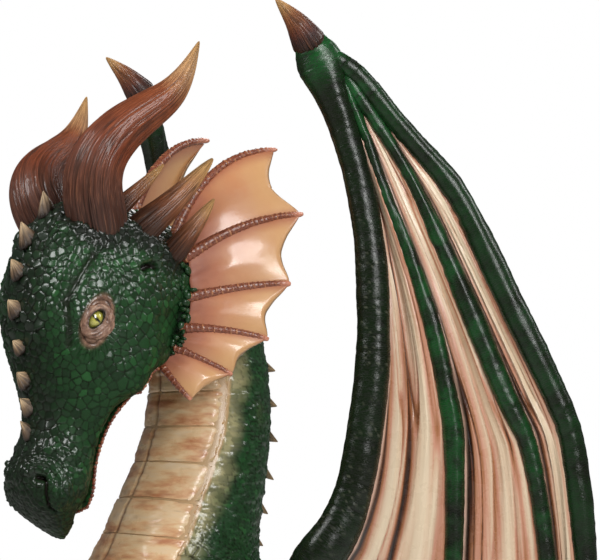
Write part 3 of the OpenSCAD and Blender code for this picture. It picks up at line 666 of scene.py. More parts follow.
def groove_shaded(tree, colour, shade_colour, patch, amount):
    """A colour darkened in the grooves of the piece: painted shade."""
    return use_group(tree, GROOVE_SHADE, {
        "Colour": colour,
        "Shade Colour": shade_colour,
        "Groove": surface_mark(tree, "groove"),
        "Patch Size": patch,
        "Amount": amount,
    })["Colour"]


def dabbed(tree, share, colour, over, scale, cover):
    """A colour with dabs of another on it, laid on by a share."""
    dabs = use_group(tree, DABS, {"Under": colour, "Over": over, "Scale": scale, "Cover": cover})
    return blend_of(tree, share, colour, dabs["Colour"])


def scale_paint():
    """Green pebbled skin with painted shade in its grooves, pink lids and pale edges towards the belly."""
    material, tree = new_material("scale_paint", 0.5, coat_roughness=0.2, specular=0.12)
    place = place_on(tree)
    colour = colour_steps(tree, surface_mark(tree, "tone"), [
        (0.0, GREEN_DARK), (0.45, GREEN), (0.8, GREEN), (1.0, GREEN_LIGHT),
    ])
    colour = dabbed(tree, 0.65, colour, OLIVE, 14.0, 0.42)
    colour = dabbed(tree, 0.55, colour, tint(58, 42, 24), 27.0, 0.36)
    lids = colour_steps(tree, lumps(tree, place, 70.0, 4.0), [
        (0.3, tint(84, 58, 44)), (0.52, tint(124, 92, 74)), (0.75, tint(160, 128, 106)),
    ])
    # Near-black down the face and as painted shade round the horn roots and low on the nose; lids, pale
    # edges and plate beds in their own colours
    areas = {"darker_face_and_shade": GREEN_BLACK, "lid": lids, "pale": tint(168, 158, 116), "bed": tint(178, 146, 106)}
    for name, over in areas.items():
        colour = blend_of(tree, surface_mark(tree, name), colour, over)
    # Near-black painted shade in the grooves between the scales and in the lid folds
    colour = groove_shaded(tree, colour, tint(16, 12, 7), 40.0, 0.95)
    # Painted shade in the deep creases, the ear holes and the nostrils
    colour = blend_of(tree, surface_mark(tree, "painted_crease_shade"), colour, tint(20, 13, 8))
    varnish = uneven(tree, lumps(tree, place, 30.0), 0.9, 0.55)
    bare = between(tree, surface_mark(tree, "groove"), 0.2, 0.9, 1.0, 0.08)
    bare = maths(tree, "MULTIPLY", bare, between(tree, surface_mark(tree, "under"), 0.0, 1.0, 1.0, 0.2))
    tree.links.new(maths(tree, "MULTIPLY", varnish, bare), shader_inputs(tree)["Coat Weight"])
    roughness = uneven(tree, lumps(tree, place, 55.0), 0.4, 0.6)
    return lay_paint(material, colour, roughness, (lumps(tree, place, 240.0), 0.22, 0.0012))


def horn_paint(name, steps):
    """Horn painted in steps from root to tip, with dark and light strokes in the grain that follow its fine
    relief: painted shade in the hollows and painted highlights on the ridges.
    """
    material, tree = new_material(name, 0.38, coat=0.28, coat_roughness=0.12, specular=0.2)
    fibre = limb_strokes(tree, 10.0, 9.0)["Fine"]
    colour = colour_steps(tree, pushed(tree, surface_mark(tree, "share"), fibre, 0.3), steps)
    # Dark strokes in the hollows of the fine relief: grain and painted shade
    colour = blend_of(tree, between(tree, fibre, 0.4, 0.54, 0.6, 0.0), colour, tint(72, 36, 20))
    # Light strokes on the ridges of the fine relief: grain and painted highlights
    colour = blend_of(tree, between(tree, fibre, 0.56, 0.7, 0.0, 0.35), colour, tint(164, 106, 70))
    # Painted shade in the cut fibre grooves
    colour = groove_shaded(tree, colour, UMBER, 30.0, 0.75)
    return lay_paint(material, colour, uneven(tree, fibre, 0.36, 0.56), (fibre, 0.5, 0.002))


def spike_paint(name, root, middle, tip):
    """Short spikes with dark streaks from a dark root to a pale tip."""
    material, tree = new_material(name, 0.42)
    strokes = limb_strokes(tree, 4.0, 12.0)
    fibre = strokes["Fine"]
    way = pushed(tree, surface_mark(tree, "share"), fibre, 0.5)
    colour = colour_steps(tree, way, [(0.12, root), (0.5, middle), (0.85, tip)])
    colour = blend_of(tree, between(tree, strokes["Mask"], 0.5, 1.0, 0.0, 0.55), colour, root)
    # Painted shade in the cut grooves
    colour = groove_shaded(tree, colour, UMBER, 60.0, 0.8)
    return lay_paint(material, colour, uneven(tree, fibre, 0.34, 0.55), (fibre, 0.5, 0.0015))


def bone_paint():
    """Near-black green wing bones with fine cross wrinkles, painted shade in their hollows, and faint
    crescent nicks.
    """
    material, tree = new_material("wing_bone_paint", 0.3, specular=0.34)
    rings = limb_strokes(tree, 0.9, 150.0)["Fine"]
    patch = between(tree, lumps(tree, place_on(tree), 16.0, 4.0), 0.3, 0.62)
    leaf = maths(tree, "MULTIPLY", surface_mark(tree, "leaf"), patch)
    colour = colour_steps(tree, leaf, [
        (0.0, tint(17, 24, 11)), (0.4, tint(20, 44, 20)), (0.95, tint(24, 80, 36)),
    ])
    # Painted shade in the hollows of the wrinkles
    colour = groove_shaded(tree, colour, BLACK, 30.0, 0.7)
    # Darker where the fine relief of the cross wrinkles dips: painted shade
    colour = blend_of(tree, between(tree, rings, 0.36, 0.5, 0.6, 0.0), colour, BLACK)
    colour = blend_of(tree, surface_mark(tree, "nick"), colour, tint(96, 98, 84))
    roughness = between(tree, rings, 0.38, 0.56, 0.4, 0.17)
    return lay_paint(material, colour, roughness, (rings, 0.4, 0.0013))


def web_paint():
    """Wing skin, its colour following its folds: cream as painted light on the ridges, pink brown on the
    flanks, umber as painted shade in the creases.
    """
    material, tree = new_material("web_paint", 0.34, coat=0.5, coat_roughness=0.18)
    across = maths(tree, "MULTIPLY", surface_mark(tree, "across"), 26.0)
    down = maths(tree, "MULTIPLY", surface_mark(tree, "down"), 5.0)
    grid = add(tree, "ShaderNodeCombineXYZ", {0: across, 1: down}).outputs[0]
    streak = lumps(tree, grid, 1.0, 4.0, 0.6)
    # Colour from the painted light and shade of the folds
    colour = colour_steps(tree, pushed(tree, surface_mark(tree, "fold_light_and_shade"), streak, 0.5), [
        (0.0, UMBER), (0.16, BROWN), (0.34, ORANGE_BROWN), (0.5, PINK), (0.66, tint(204, 172, 144)),
        (0.9, tint(216, 196, 168)),
    ])
    colour = dabbed(tree, 0.3, colour, ORANGE_BROWN, 18.0, 0.4)
    colour = blend_of(tree, surface_mark(tree, "hem"), colour, tint(204, 166, 146))
    roughness = uneven(tree, lumps(tree, place_on(tree), 40.0), 0.2, 0.4)
    return lay_paint(material, colour, roughness, (streak, 0.6, 0.004))


def frill_paint():
    """Peach frill skin: pink towards the head and under the ribs, tan at the free edge."""
    material, tree = new_material("frill_paint", 0.36, coat=0.6, coat_roughness=0.17)
    place = place_on(tree)
    way = pushed(tree, surface_mark(tree, "down"), lumps(tree, place, 20.0, 4.0), 0.35)
    colour = colour_steps(tree, way, [
        (0.0, ROSE), (0.25, tint(176, 113, 85)), (0.5, tint(191, 136, 97)), (0.8, tint(199, 151, 103)),
        (1.0, tint(192, 146, 98)),
    ])
    colour = blend_of(tree, surface_mark(tree, "seam"), colour, tint(158, 88, 64))
    colour = dabbed(tree, 0.5, colour, tint(192, 126, 84), 11.0, 0.46)
    roughness = uneven(tree, lumps(tree, place, 25.0), 0.3, 0.46)
    return lay_paint(material, colour, roughness, (lumps(tree, place, 60.0), 0.25, 0.002))


def rib_paint():
    """Copper ribs, darker in the hollows of their fine relief as painted shade, with broken tan ticks as
    painted highlights on their raised ridges.
    """
    material, tree = new_material("rib_paint", 0.34, coat=0.3)
    fibre = limb_strokes(tree, 3.0, 60.0)["Fine"]
    # Darker where the fine relief dips: painted shade
    colour = colour_steps(tree, fibre, [
        (0.34, tint(74, 34, 20)), (0.48, tint(112, 56, 36)), (0.62, tint(142, 80, 54)),
    ])
    broken = between(tree, lumps(tree, place_on(tree), 90.0), 0.42, 0.62)
    tick = maths(tree, "MULTIPLY", surface_mark(tree, "ridge"), broken)
    # Tan painted highlights on the raised ticks
    colour = blend_of(tree, tick, colour, tint(182, 124, 82))
    tip = between(tree, surface_mark(tree, "share"), 0.84, 1.0)
    colour = blend_of(tree, tip, colour, tint(196, 128, 102))
    return lay_paint(material, colour, uneven(tree, fibre, 0.24, 0.44), (fibre, 0.4, 0.001))


def belly_paint():
    """Cream belly plates with orange-brown streaks, and brown painted shade in their middle creases and
    wrinkles.
    """
    material, tree = new_material("belly_paint", 0.3, coat=0.4, coat_roughness=0.16)
    place = place_on(tree)
    streak = lumps(tree, place, 16.0, 5.0, 0.62, stretch=(0.6, 0.8, 2.6))
    colour = colour_steps(tree, streak, [
        (0.32, tint(178, 118, 80)), (0.44, tint(206, 160, 117)), (0.54, tint(216, 184, 142)), (0.72, CREAM),
    ])
    # Brown painted shade in the creases and wrinkle hollows
    colour = groove_shaded(tree, colour, tint(104, 58, 34), 24.0, 1.0)
    colour = blend_of(tree, surface_mark(tree, "edge"), colour, tint(168, 156, 114))
    roughness = uneven(tree, lumps(tree, place, 30.0), 0.24, 0.46)
    wrinkles = lumps(tree, place, 55.0, 4.0, 0.6, stretch=(0.5, 0.7, 2.0))
    return lay_paint(material, colour, roughness, (wrinkles, 0.5, 0.003))


def lid_paint():
    """Wrinkled pink-brown lids, with painted shade in their folds and a black inner rim."""
    material, tree = new_material("lid_paint", 0.4, coat=0.15)
    place = place_on(tree)
    colour = colour_steps(tree, lumps(tree, place, 90.0, 4.0), [
        (0.3, tint(92, 64, 50)), (0.5, tint(132, 98, 80)), (0.72, tint(168, 136, 114)),
    ])
    # Painted shade in the lid folds
    colour = groove_shaded(tree, colour, UMBER, 80.0, 0.9)
    colour = blend_of(tree, surface_mark(tree, "rim"), colour, BLACK)
    return lay_paint(material, colour, relief=(lumps(tree, place, 200.0), 0.4, 0.001))


def eye_paint():
    """Yellow-green iris with a slit pupil, behind a clear gloss."""
    material, tree = new_material("eye_paint", 0.08, coat=1.0, coat_roughness=0.03)
    iris = surface_mark(tree, "iris")
    colour = colour_steps(tree, iris, [
        (0.0, tint(196, 190, 84)), (0.45, tint(182, 176, 80)), (0.72, tint(120, 118, 48)), (0.9, BLACK),
        (1.0, BLACK),
    ])
    spread = add(tree, "ShaderNodeCombineXYZ", {
        0: surface_mark(tree, "ray_x"),
        1: surface_mark(tree, "ray_y"),
        2: maths(tree, "MULTIPLY", iris, 0.4),
    }).outputs[0]
    rays = between(tree, lumps(tree, spread, 9.0), 0.45, 0.7, 0.0, 0.55)
    colour = blend_of(tree, rays, colour, tint(110, 84, 30))
    colour = blend_of(tree, surface_mark(tree, "pupil"), colour, BLACK)
    return lay_paint(material, colour)


def lip_paint():
    """Copper-brown beaded lip."""
    material, tree = new_material("lip_paint", 0.3, coat=0.3)
    place = place_on(tree)
    colour = colour_steps(tree, lumps(tree, place, 70.0, 4.0), [
        (0.3, tint(70, 30, 18)), (0.48, tint(118, 58, 38)), (0.62, tint(156, 92, 62)), (0.76, TAN),
    ])
    return lay_paint(material, colour, relief=(lumps(tree, place, 160.0), 0.5, 0.0015))


def steel_paint(name, colour, wear_colour):
    """Painted steel with bare, rubbed patches."""
    material, tree = new_material(name, 0.45)
    place = place_on(tree)
    rub = between(tree, lumps(tree, place, 9.0, 6.0, 0.7), 0.56, 0.68)
    worn = dabbed(tree, rub, colour, wear_colour, 45.0, 0.38)
    roughness = uneven(tree, lumps(tree, place, 60.0), 0.34, 0.58)
    return lay_paint(material, worn, roughness, (lumps(tree, place, 300.0, 2.0), 0.2, 0.0006))


def plywood_paint():
    """Birch plywood with a long grain."""
    material, tree = new_material("plywood", 0.6)
    grain = lumps(tree, place_on(tree), 30.0, 5.0, 0.6, stretch=(0.3, 3.0, 3.0))
    colour = colour_steps(tree, grain, [
        (0.3, tint(150, 112, 72)), (0.55, tint(196, 162, 116)), (0.8, tint(214, 186, 140)),
    ])
    return lay_paint(material, colour, relief=(grain, 0.3, 0.001))


# The skin of chest, neck and head


# Behind the chin and below this height all is throat and chest
THROAT_TOP = 0.70
CHIN_BACK = -0.19


def may_be_head(points):
    """True where the head's rows may be the nearest, so not on the throat and chest behind the chin."""
    low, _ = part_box("head_shell")
    return (points[:, 2] > THROAT_TOP) | ((points[:, 1] < CHIN_BACK) & (points[:, 2] > low[2] - 0.01))


def body_row(points):
    """Row along the body line nearest to each point, and that row's middle."""
    line = np.array([(0, y * MM, z * MM) for y, z in BODY_LINE])
    head = may_be_head(points)
    best = np.full(len(points), 1e9)
    row = np.zeros(len(points))
    foot = np.zeros((len(points), 3))
    flat = points * [0, 1, 1]
    for i in range(len(line) - 1):
        leg = line[i + 1] - line[i]
        part = np.clip((flat - line[i]) @ leg / (leg @ leg), 0, 1)
        near = line[i] + part[:, None] * leg
        away = np.linalg.norm(flat - near, axis=1)
        nearer = (away < best) & (head | (i < HEAD_FOOT))
        best[nearer] = away[nearer]
        row[nearer] = i + part[nearer]
        foot[nearer] = near[nearer]
    return row, foot


def cup_line(side):
    """Middle of a shoulder cup and the way its wing lifts out."""
    low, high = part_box(f"{side}_shoulder_cup")
    joint = next(j for j in frame["joints"] if j["name"] == f"{side}_wing_lift")
    return np.array((low + high) / 2), np.array(joint["axis"])


CUP_OPENING = 0.066
FACING_OUT = 0.25


def keep_outer_wall(piece):
    """Deletes the inside of a cast shell and the walls of its openings."""
    mesh = piece.data
    centres = np.array([face.center for face in mesh.polygons])
    facing = np.array([face.normal for face in mesh.polygons])
    _, foot = body_row(centres)
    out = centres - foot
    out /= np.linalg.norm(out, axis=1)[:, None]
    drop = (facing * out).sum(1) < FACING_OUT
    for side in SIDES:
        middle, axis = cup_line(side)
        away = centres - middle
        away -= (away @ axis)[:, None] * axis
        drop |= np.linalg.norm(away, axis=1) < CUP_OPENING
    drop_faces(piece, drop)


HEAD_VOXEL = 0.00207
BODY_VOXEL = 0.0032
NECK_TUCK_ROWS = 0.14
NECK_TUCK = 0.004


def cast_skin():
    """One closed skin over chest, neck and head."""
    shells = [copy_node(node, node + "_wall") for node in ("chest_shell", "neck_shell", "head_shell")]
    for shell in shells:
        keep_outer_wall(shell)
    skin = join_pieces(shells, "skin")
    with editing(skin, "SELECT"):
        bpy.ops.mesh.remove_doubles(threshold=0.0002)
    soften(skin, 2)
    with editing(skin, "SELECT"):
        bpy.ops.mesh.fill_holes(sides=0)
        bpy.ops.mesh.normals_make_consistent(inside=False)
    return skin


def even_mesh(piece, voxel):
    """Casts a closed piece again as an even, fine mesh."""
    only(piece)
    piece.data.remesh_voxel_size = voxel
    bpy.ops.object.voxel_remesh()


def face_corners(piece):
    """The first vertex of each face."""
    return np.array([face.vertices[0] for face in piece.data.polygons])


def even_part(skin, name, voxel, low, high):
    """An even, fine copy of the cast skin between two rows of the body."""
    only(skin)
    bpy.ops.object.duplicate()
    part = bpy.context.active_object
    part.name = name
    even_mesh(part, voxel)
    row = body_row(places(part))[0][face_corners(part)]
    drop_faces(part, (row < low) | (row >= high))
    return part


def mirrored(points):
    """The points brought to the left side."""
    return np.column_stack([np.abs(points[:, 0]), points[:, 1:]])


# Creases and swellings of the head: path in mm on the left side, height, half width, and the painted shade
# in it
HEAD_FORMS = {
    "eye_groove": ([
        (117, -299, 990), (117, -321, 957), (113, -338, 927), (107, -349, 905), (108, -344, 866),
        (104, -339, 826),
    ], -6.0, 8.0, 0.6),
    "horn_collar": (
        [(69, -343, 1040), (108, -292, 1040), (114, -250, 1044), (109, -217, 1050)], 14.0, 20.0, 0),
    "temple_collar": ([(105, -192, 1036), (118, -150, 1020), (121, -115, 1000)], 11.0, 18.0, 0),
    "face_edge": ([(103, -322, 1004), (100, -345, 960), (95, -358, 924), (88, -366, 890)], 5.0, 16.0, 0),
    "ear_hole": ([(128, -196, 974), (127, -180, 982), (126, -168, 980)], -14.0, 7.0, 1.0),
    "ear_rim": ([(128, -204, 984), (126, -180, 998), (124, -158, 992)], 4.0, 7.0, 0),
    "cheek": ([(112, -160, 880), (116, -180, 860)], 7.0, 55.0, 0),
    "jaw_corner": ([(92, -138, 822), (100, -163, 818), (106, -189, 798), (102, -206, 776)], 28.0, 40.0, 0),
    "nostril": ([(54, -371, 595), (64, -364, 593)], -13.0, 6.5, 1.0),
    "nostril_slit": ([
        (66, -363, 593), (70, -359, 583), (67, -358, 565), (60, -345, 542), (61, -334, 535),
    ], -8.0, 4.2, 1.0),
    "nose_side": ([(79, -333, 562), (80, -332, 552)], 10.0, 20.0, 0),
    "nostril_rim": (
        [(37, -376, 602), (46, -366, 616), (66, -346, 618), (79, -336, 600), (84, -326, 580)], 5.0, 7.0, 0),
    "nose_fold": ([(20, -362, 640), (38, -357, 646), (62, -334, 642), (76, -312, 630)], 3.0, 8.0, 0),
}
# The small curled folds round each nostril: their line in mm, and how far apart they lie
NOSTRIL_LINE = [(54, -371, 595), (66, -363, 593), (70, -359, 583), (67, -358, 565)]
NOSE_CURL = 0.011

# How far the eyes, and the wrinkled rings round them, lean back
EYE_TILT = math.radians(51)
RING_TILT = math.radians(70)


def eye_seat(side, tilt=EYE_TILT):
    """Middle of an eye, the way it looks, and the long and short ways across its lids."""
    low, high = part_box(f"{side}_eye")
    middle = np.array((low + high) / 2)
    low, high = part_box(f"{side}_eyelids")
    look = np.array((low + high) / 2) - middle
    look /= np.linalg.norm(look)
    long_way = np.array([0, math.cos(tilt), math.sin(tilt)])
    long_way -= look * (long_way @ look)
    long_way /= np.linalg.norm(long_way)
    short_way = np.cross(look, long_way) * SIDES[side]
    return middle, look, long_way, short_way


LID_LONG = 0.052
LID_SHORT = 0.030
LID_SHIFT = 0.007


def ring_of(away, long_way, short_way):
    """Steps out from the middle of an eye, where 1 is the edge of the wrinkled lids."""
    return np.sqrt((away @ long_way / LID_LONG) ** 2 + (away @ short_way / LID_SHORT) ** 2)


NO_RING = 9.0


def lid_ring(points):
    """How far out each point is from the nearer eye."""
    nearest = np.full(len(points), NO_RING)
    for side in SIDES:
        middle, look, long_way, short_way = eye_seat(side, RING_TILT)
        away = points - middle + short_way * LID_SHIFT
        ring = ring_of(away, long_way, short_way)
        ring[away @ look < 0] = NO_RING
        nearest = np.minimum(nearest, ring)
    return nearest


BODY_SCALE = 0.0125
LID_SCALE = 0.0075


def scale_size(points, row, ring):
    """Width of the pebble scales over the body, and how boldly they stand."""
    across, _, up = mirrored(points).T
    head = smooth(HEAD_FOOT, HEAD_FOOT + 1.5, row)
    neck = (1 - head) * smooth(CHEST_TOP, CHEST_TOP + 1, row)
    front = head * smooth(0.100, 0.060, across) * smooth(0.80, 0.86, up)
    brow = head * smooth(0.93, 0.97, up)
    cheek = head * smooth(-0.29, -0.24, points[:, 1]) * smooth(0.95, 0.90, up)
    nose = smooth(NOSE_FROM, NOSE_FROM + 3, row)
    chest = smooth(CHEST_TOP + 1, CHEST_TOP - 1, row)
    size = BODY_SCALE - head * 0.0018 + front * 0.004 + cheek * 0.0018 - nose * 0.0025 + chest * 0.006
    size *= 1 + 0.3 * noise(points, 0.03, 16)
    bold = 0.85 - neck * 0.3 + front * 0.35 + brow * 0.3 - cheek * 0.25
    return np.where(ring < 1.2, LID_SCALE, size), np.clip(bold, 0.4, 1.2)


def scatter_scales(points, size, draws):
    """Picks scale middles so that no two lie closer than their size."""
    cell = size.max()
    order = np.random.default_rng(7).permutation(len(points))[:draws]
    taken = {}
    chosen = []
    for index in order:
        point = points[index]
        key = tuple((point // cell).astype(int))
        reach = size[index] ** 2
        near = (
            other
            for i in (-1, 0, 1) for j in (-1, 0, 1) for k in (-1, 0, 1)
            for other in taken.get((key[0] + i, key[1] + j, key[2] + k), ())
        )
        if all(((point - points[other]) ** 2).sum() > reach for other in near):
            taken.setdefault(key, []).append(index)
            chosen.append(index)
    return np.array(chosen)


def search_tree(points):
    """A tree that finds the nearest of some points."""
    tree = kdtree.KDTree(len(points))
    for i, point in enumerate(points):
        tree.insert(point, i)
    tree.balance()
    return tree


SCALE_DRAWS = 45000
SCALE_LEAN = 0.16
SCALE_RISE = 0.13
SCALE_ROUND = 0.05
NEIGHBOURS = 4


def pebble(points, size, bold):
    """Height of the pebble scales, and marks for their grooves and tones."""
    chosen = scatter_scales(points, size, SCALE_DRAWS)
    tree = search_tree(points[chosen])
    found = np.zeros((len(points), NEIGHBOURS), int)
    away = np.zeros((len(points), NEIGHBOURS))
    for i, point in enumerate(points):
        for j, (_, index, distance) in enumerate(tree.find_n(point, NEIGHBOURS)):
            found[i, j] = index
            away[i, j] = distance
    width = size[chosen]
    part = away / width[found]
    order = np.argsort(part, axis=1)
    part = np.take_along_axis(part, order, 1)
    owner = np.take_along_axis(found, order, 1)[:, 0]
    edge = part[:, 1] - part[:, 0]
    crown = smooth(0.0, 0.30, edge)
    random = np.random.default_rng(11)
    lean = random.normal(0, SCALE_LEAN, (len(chosen), 3))
    tilt = ((points - points[chosen[owner]]) * lean[owner]).sum(1)
    dome = SCALE_RISE * crown - SCALE_ROUND * np.minimum(part[:, 0], 1) ** 2
    height = (width[owner] * dome + tilt * crown) * bold
    groove = 1 - smooth(0.03, 0.24, edge)
    return height, groove, random.random(len(chosen))[owner]


FAR = 0.06


def away_from(points, pieces):
    """Distance of each point from the nearest vertex of some pieces, up to FAR."""
    away = np.full(len(points), FAR)
    for piece in pieces:
        corners = places(piece)
        tree = search_tree(corners)
        near = ((points > corners.min(0) - FAR) & (points < corners.max(0) + FAR)).all(1)
        found = [tree.find(point)[2] for point in points[near]]
        away[near] = np.minimum(away[near], found)
    return away


RAYS = 34


def lid_rays(points, ring):
    """Short wrinkles that fan out below each eye."""
    rays = np.zeros(len(points))
    for side in SIDES:
        middle, _, long_way, short_way = eye_seat(side)
        away = points - middle
        turn = np.arctan2(away @ short_way, away @ long_way)
        below = smooth(0.01, -0.03, away[:, 2]) * (np.abs(points[:, 0] - middle[0]) < 0.09)
        rays += np.cos(turn * RAYS) * below
    return rays * smooth(1.0, 1.12, ring) * smooth(1.7, 1.35, ring)


def head_forms(left, head):
    """Height of the head's creases and swellings, and the painted shade that lies in the deep ones."""
    height = np.zeros(len(left))
    painted_crease_shade = np.zeros(len(left))
    for path, rise, half, dark in HEAD_FORMS.values():
        away, _ = near_path(left, np.array(path) * MM)
        form = hill(away, 0, half * MM) * head
        height += form * rise * MM
        # Deep creases, ear holes and nostrils get painted shade
        painted_crease_shade = np.maximum(painted_crease_shade, smooth(0.25, 0.8, form) * dark)
    return height, painted_crease_shade


def nose_curls(left):
    """Curled folds round each nostril."""
    away, _ = near_path(left, np.array(NOSTRIL_LINE) * MM)
    return np.sin(away / NOSE_CURL * 2 * math.pi) * smooth(0.012, 0.02, away) * smooth(0.055, 0.035, away)


def dark_areas(points, zone, horns):
    """Where the green is painted darker: down the face, and as painted shade round the horn roots and low on
    the nose.
    """
    face = zone.head * smooth(0.11, 0.03, zone.across) * smooth(-0.25, -0.33, points[:, 1]) * 0.75
    roots = smooth(0.045, 0.006, away_from(points, horns)) * 0.9
    nose = smooth(0.62, 0.56, points[:, 2]) * zone.head * 0.5
    return np.maximum(np.maximum(face, roots), nose)


LID_FOLD = 0.0011
SKIN_WAVE = 0.0022
NECK_WRINKLE = 0.0022
RAY_HEIGHT = 0.0016
CURL_HEIGHT = 0.0011
BELLY_CREASE = 0.0032
PLATE_BED = 0.0012


def skin_zones(points, plates):
    """Where the head, neck, lids, rays and plate beds lie on the skin."""
    row, _ = body_row(points)
    head = smooth(HEAD_FOOT - 0.2, HEAD_FOOT + 0.6, row)
    neck = smooth(CHEST_TOP, CHEST_TOP + 1, row) * (1 - head)
    ring = lid_ring(points)
    from_plates = away_from(points, plates)
    return SimpleNamespace(
        row=row,
        head=head,
        neck=neck,
        ring=ring,
        from_plates=from_plates,
        across=np.abs(points[:, 0]),
        lids=1 - smooth(0.85, 1.1, ring),
        folds=np.sin(ring * 30 + noise(points, 0.012, 3) * 2.6),
        rays=lid_rays(points, ring) * head,
        bed=smooth(0.008, 0.004, from_plates),
        creased=smooth(0.06, 0.02, from_plates) * neck,
    )


def fold_skin(skin, zone):
    """Works creases, swellings and folds into the skin. Returns the painted shade that lies in the deep
    ones.
    """
    points = places(skin)
    left = mirrored(points)
    height, painted_crease_shade = head_forms(left, zone.head)
    height += zone.lids * zone.folds * LID_FOLD
    height += noise(points, 0.05, 5) * SKIN_WAVE * (1 - zone.lids)
    height += zone.neck * noise(points * [1, 1, 3.2], 0.04, 9) * NECK_WRINKLE
    height += zone.rays * RAY_HEIGHT
    height += nose_curls(left) * zone.head * CURL_HEIGHT
    height += zone.creased * noise(points * [0.6, 0.6, 2.4], 0.02, 17) * BELLY_CREASE
    swell(skin, height * (1 - zone.bed) + zone.bed * PLATE_BED)
    return painted_crease_shade


def scale_skin(skin, zone, painted_crease_shade):
    """Sets pebble scales on the skin, calmer on lids and creases, and marks them for the paint."""
    points = places(skin)
    size, bold = scale_size(points, zone.row, zone.ring)
    pressed = points + points * [0, 0, 0.9] * zone.neck[:, None]
    scales, groove, tone = pebble(pressed, size, bold)
    busy = zone.lids * 0.75 + painted_crease_shade + zone.bed + np.abs(zone.rays) * 0.5 + zone.creased * 0.7
    calm = np.clip(1 - busy, 0, 1)
    height = scales * calm
    if "neck" in skin.name:
        height -= smooth(HEAD_FOOT, HEAD_FOOT + NECK_TUCK_ROWS, zone.row) * NECK_TUCK
    swell(skin, height)
    pale = smooth(0.056, 0.006, zone.from_plates + 0.012 * noise(points, 0.03, 15))
    pale *= 0.6 + 0.4 * smooth(0.25, 0.75, tone)
    # The grooves between scales and in the lid folds, marked for painted shade and a thinner coat
    mark(skin, "groove", np.clip(groove * calm + zone.lids * smooth(0.2, 1, -zone.folds) * 0.8, 0, 1))
    mark(skin, "tone", tone)
    mark(skin, "pale", pale * 0.85 * (1 - zone.head))


def facing_down(facing):
    """1 where the surface looks down, so that little varnish shows."""
    return smooth(0.05, -0.35, facing[:, 2])


def sculpt_skin(skin, plates, horns):
    """Folds the skin, sets its scales and marks its areas for the paint."""
    zone = skin_zones(places(skin), plates)
    facing = outward(skin)
    painted_crease_shade = fold_skin(skin, zone)
    # Darker down the face, and painted shade round the horn roots and low on the nose
    mark(skin, "darker_face_and_shade", dark_areas(places(skin), zone, horns))
    scale_skin(skin, zone, painted_crease_shade)
    mark(skin, "under", facing_down(facing))
    mark(skin, "lid", zone.lids)
    mark(skin, "bed", zone.bed)
    mark(skin, "painted_crease_shade", painted_crease_shade)


def cut_off(skin, name, wanted):
    """Parts some faces of a skin into a piece of their own."""
    pick(skin, "FACE", wanted)
    with editing(skin):
        bpy.ops.mesh.separate(type="SELECTED")
    part = next(o for o in bpy.context.selected_objects if o is not skin)
    part.name = name
    return part


def close_ends(part):
    """Fills the open ends of a cut skin with flat faces."""
    walls = len(part.data.polygons)
    only(part)
    bpy.ops.object.shade_smooth()
    with editing(part, "DESELECT"):
        bpy.ops.mesh.select_non_manifold(extend=False)
        bpy.ops.mesh.fill_holes(sides=0)
    for face in part.data.polygons[walls:]:
        face.use_smooth = False


def make_skin(material, plates, horns):
    """The cast skin: head in two moulded halves, neck, and chest."""
    skin = cast_skin()
    neck = even_part(skin, "neck_skin", BODY_VOXEL, -1, HEAD_FOOT + NECK_TUCK_ROWS)
    head = even_part(skin, "left_head_skin", HEAD_VOXEL, HEAD_FOOT, len(BODY_LINE))
    bpy.data.objects.remove(skin)
    sculpt_skin(neck, plates, horns)
    sculpt_skin(head, plates, horns)
    row, _ = body_row(places(neck)[face_corners(neck)])
    chest = cut_off(neck, "chest_skin", row < CHEST_TOP)
    close_ends(head)
    right = cut_off(head, "right_head_skin", places(head)[face_corners(head), 0] < 0)
    shells = ((head, "head_shell"), (right, "head_shell"), (neck, "neck_shell"), (chest, "chest_shell"))
    for part, node in shells:
        close_ends(part)
        part.data.name = part.name
        part.data.materials.append(material)
        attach(part, "statue")
        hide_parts(node)


# Eyes and lids


EYE_RADIUS = 0.026
EYE_BULGE = 0.0014
IRIS_LONG = 0.0225
IRIS_SHORT = 0.0135
PUPIL_HALF = 0.0026
PUPIL_REACH = 0.0105


def make_eye(side, material):
    """A glass eye with a swollen front, marked for its iris and slit."""
    middle, look, long_way, short_way = eye_seat(side)
    bpy.ops.object.select_all(action="DESELECT")
    bpy.ops.mesh.primitive_uv_sphere_add(segments=48, ring_count=32, radius=EYE_RADIUS)
    eye = bpy.context.active_object
    eye.name = f"{side}_glass_eye"
    co = places(eye)
    ahead = co[:, 2] / EYE_RADIUS
    co[:, 2] += smooth(0.75, 1.0, ahead) * EYE_BULGE
    x, y, z = co.T
    set_places(eye, np.outer(x, long_way) + np.outer(y, short_way) + np.outer(z, look) + middle)
    iris = np.sqrt((x / IRIS_LONG) ** 2 + (y / IRIS_SHORT) ** 2)
    mark(eye, "iris", np.where(ahead > 0, np.clip(iris, 0, 1), 1))
    span = np.maximum(np.hypot(x, y), 1e-6)
    mark(eye, "ray_x", x / span)
    mark(eye, "ray_y", y / span)
    slit = np.abs(x) / (PUPIL_HALF * np.sqrt(np.clip(1 - (y / PUPIL_REACH) ** 2, 0.0001, 1)))
    mark(eye, "pupil", np.where(ahead > 0, 1 - smooth(0.85, 1.15, slit), 0))
    with editing(eye, "SELECT"):
        bpy.ops.mesh.normals_make_consistent(inside=False)
    finish_piece(eye, "statue", "eye_glass", material, f"{side}_eye")


# How much narrower the lids are than the solid, along and across the eye, and how much more at its rim
LID_SQUEEZE = (0.16, 0.10)
LID_CLOSED = (0.02, 0.20)


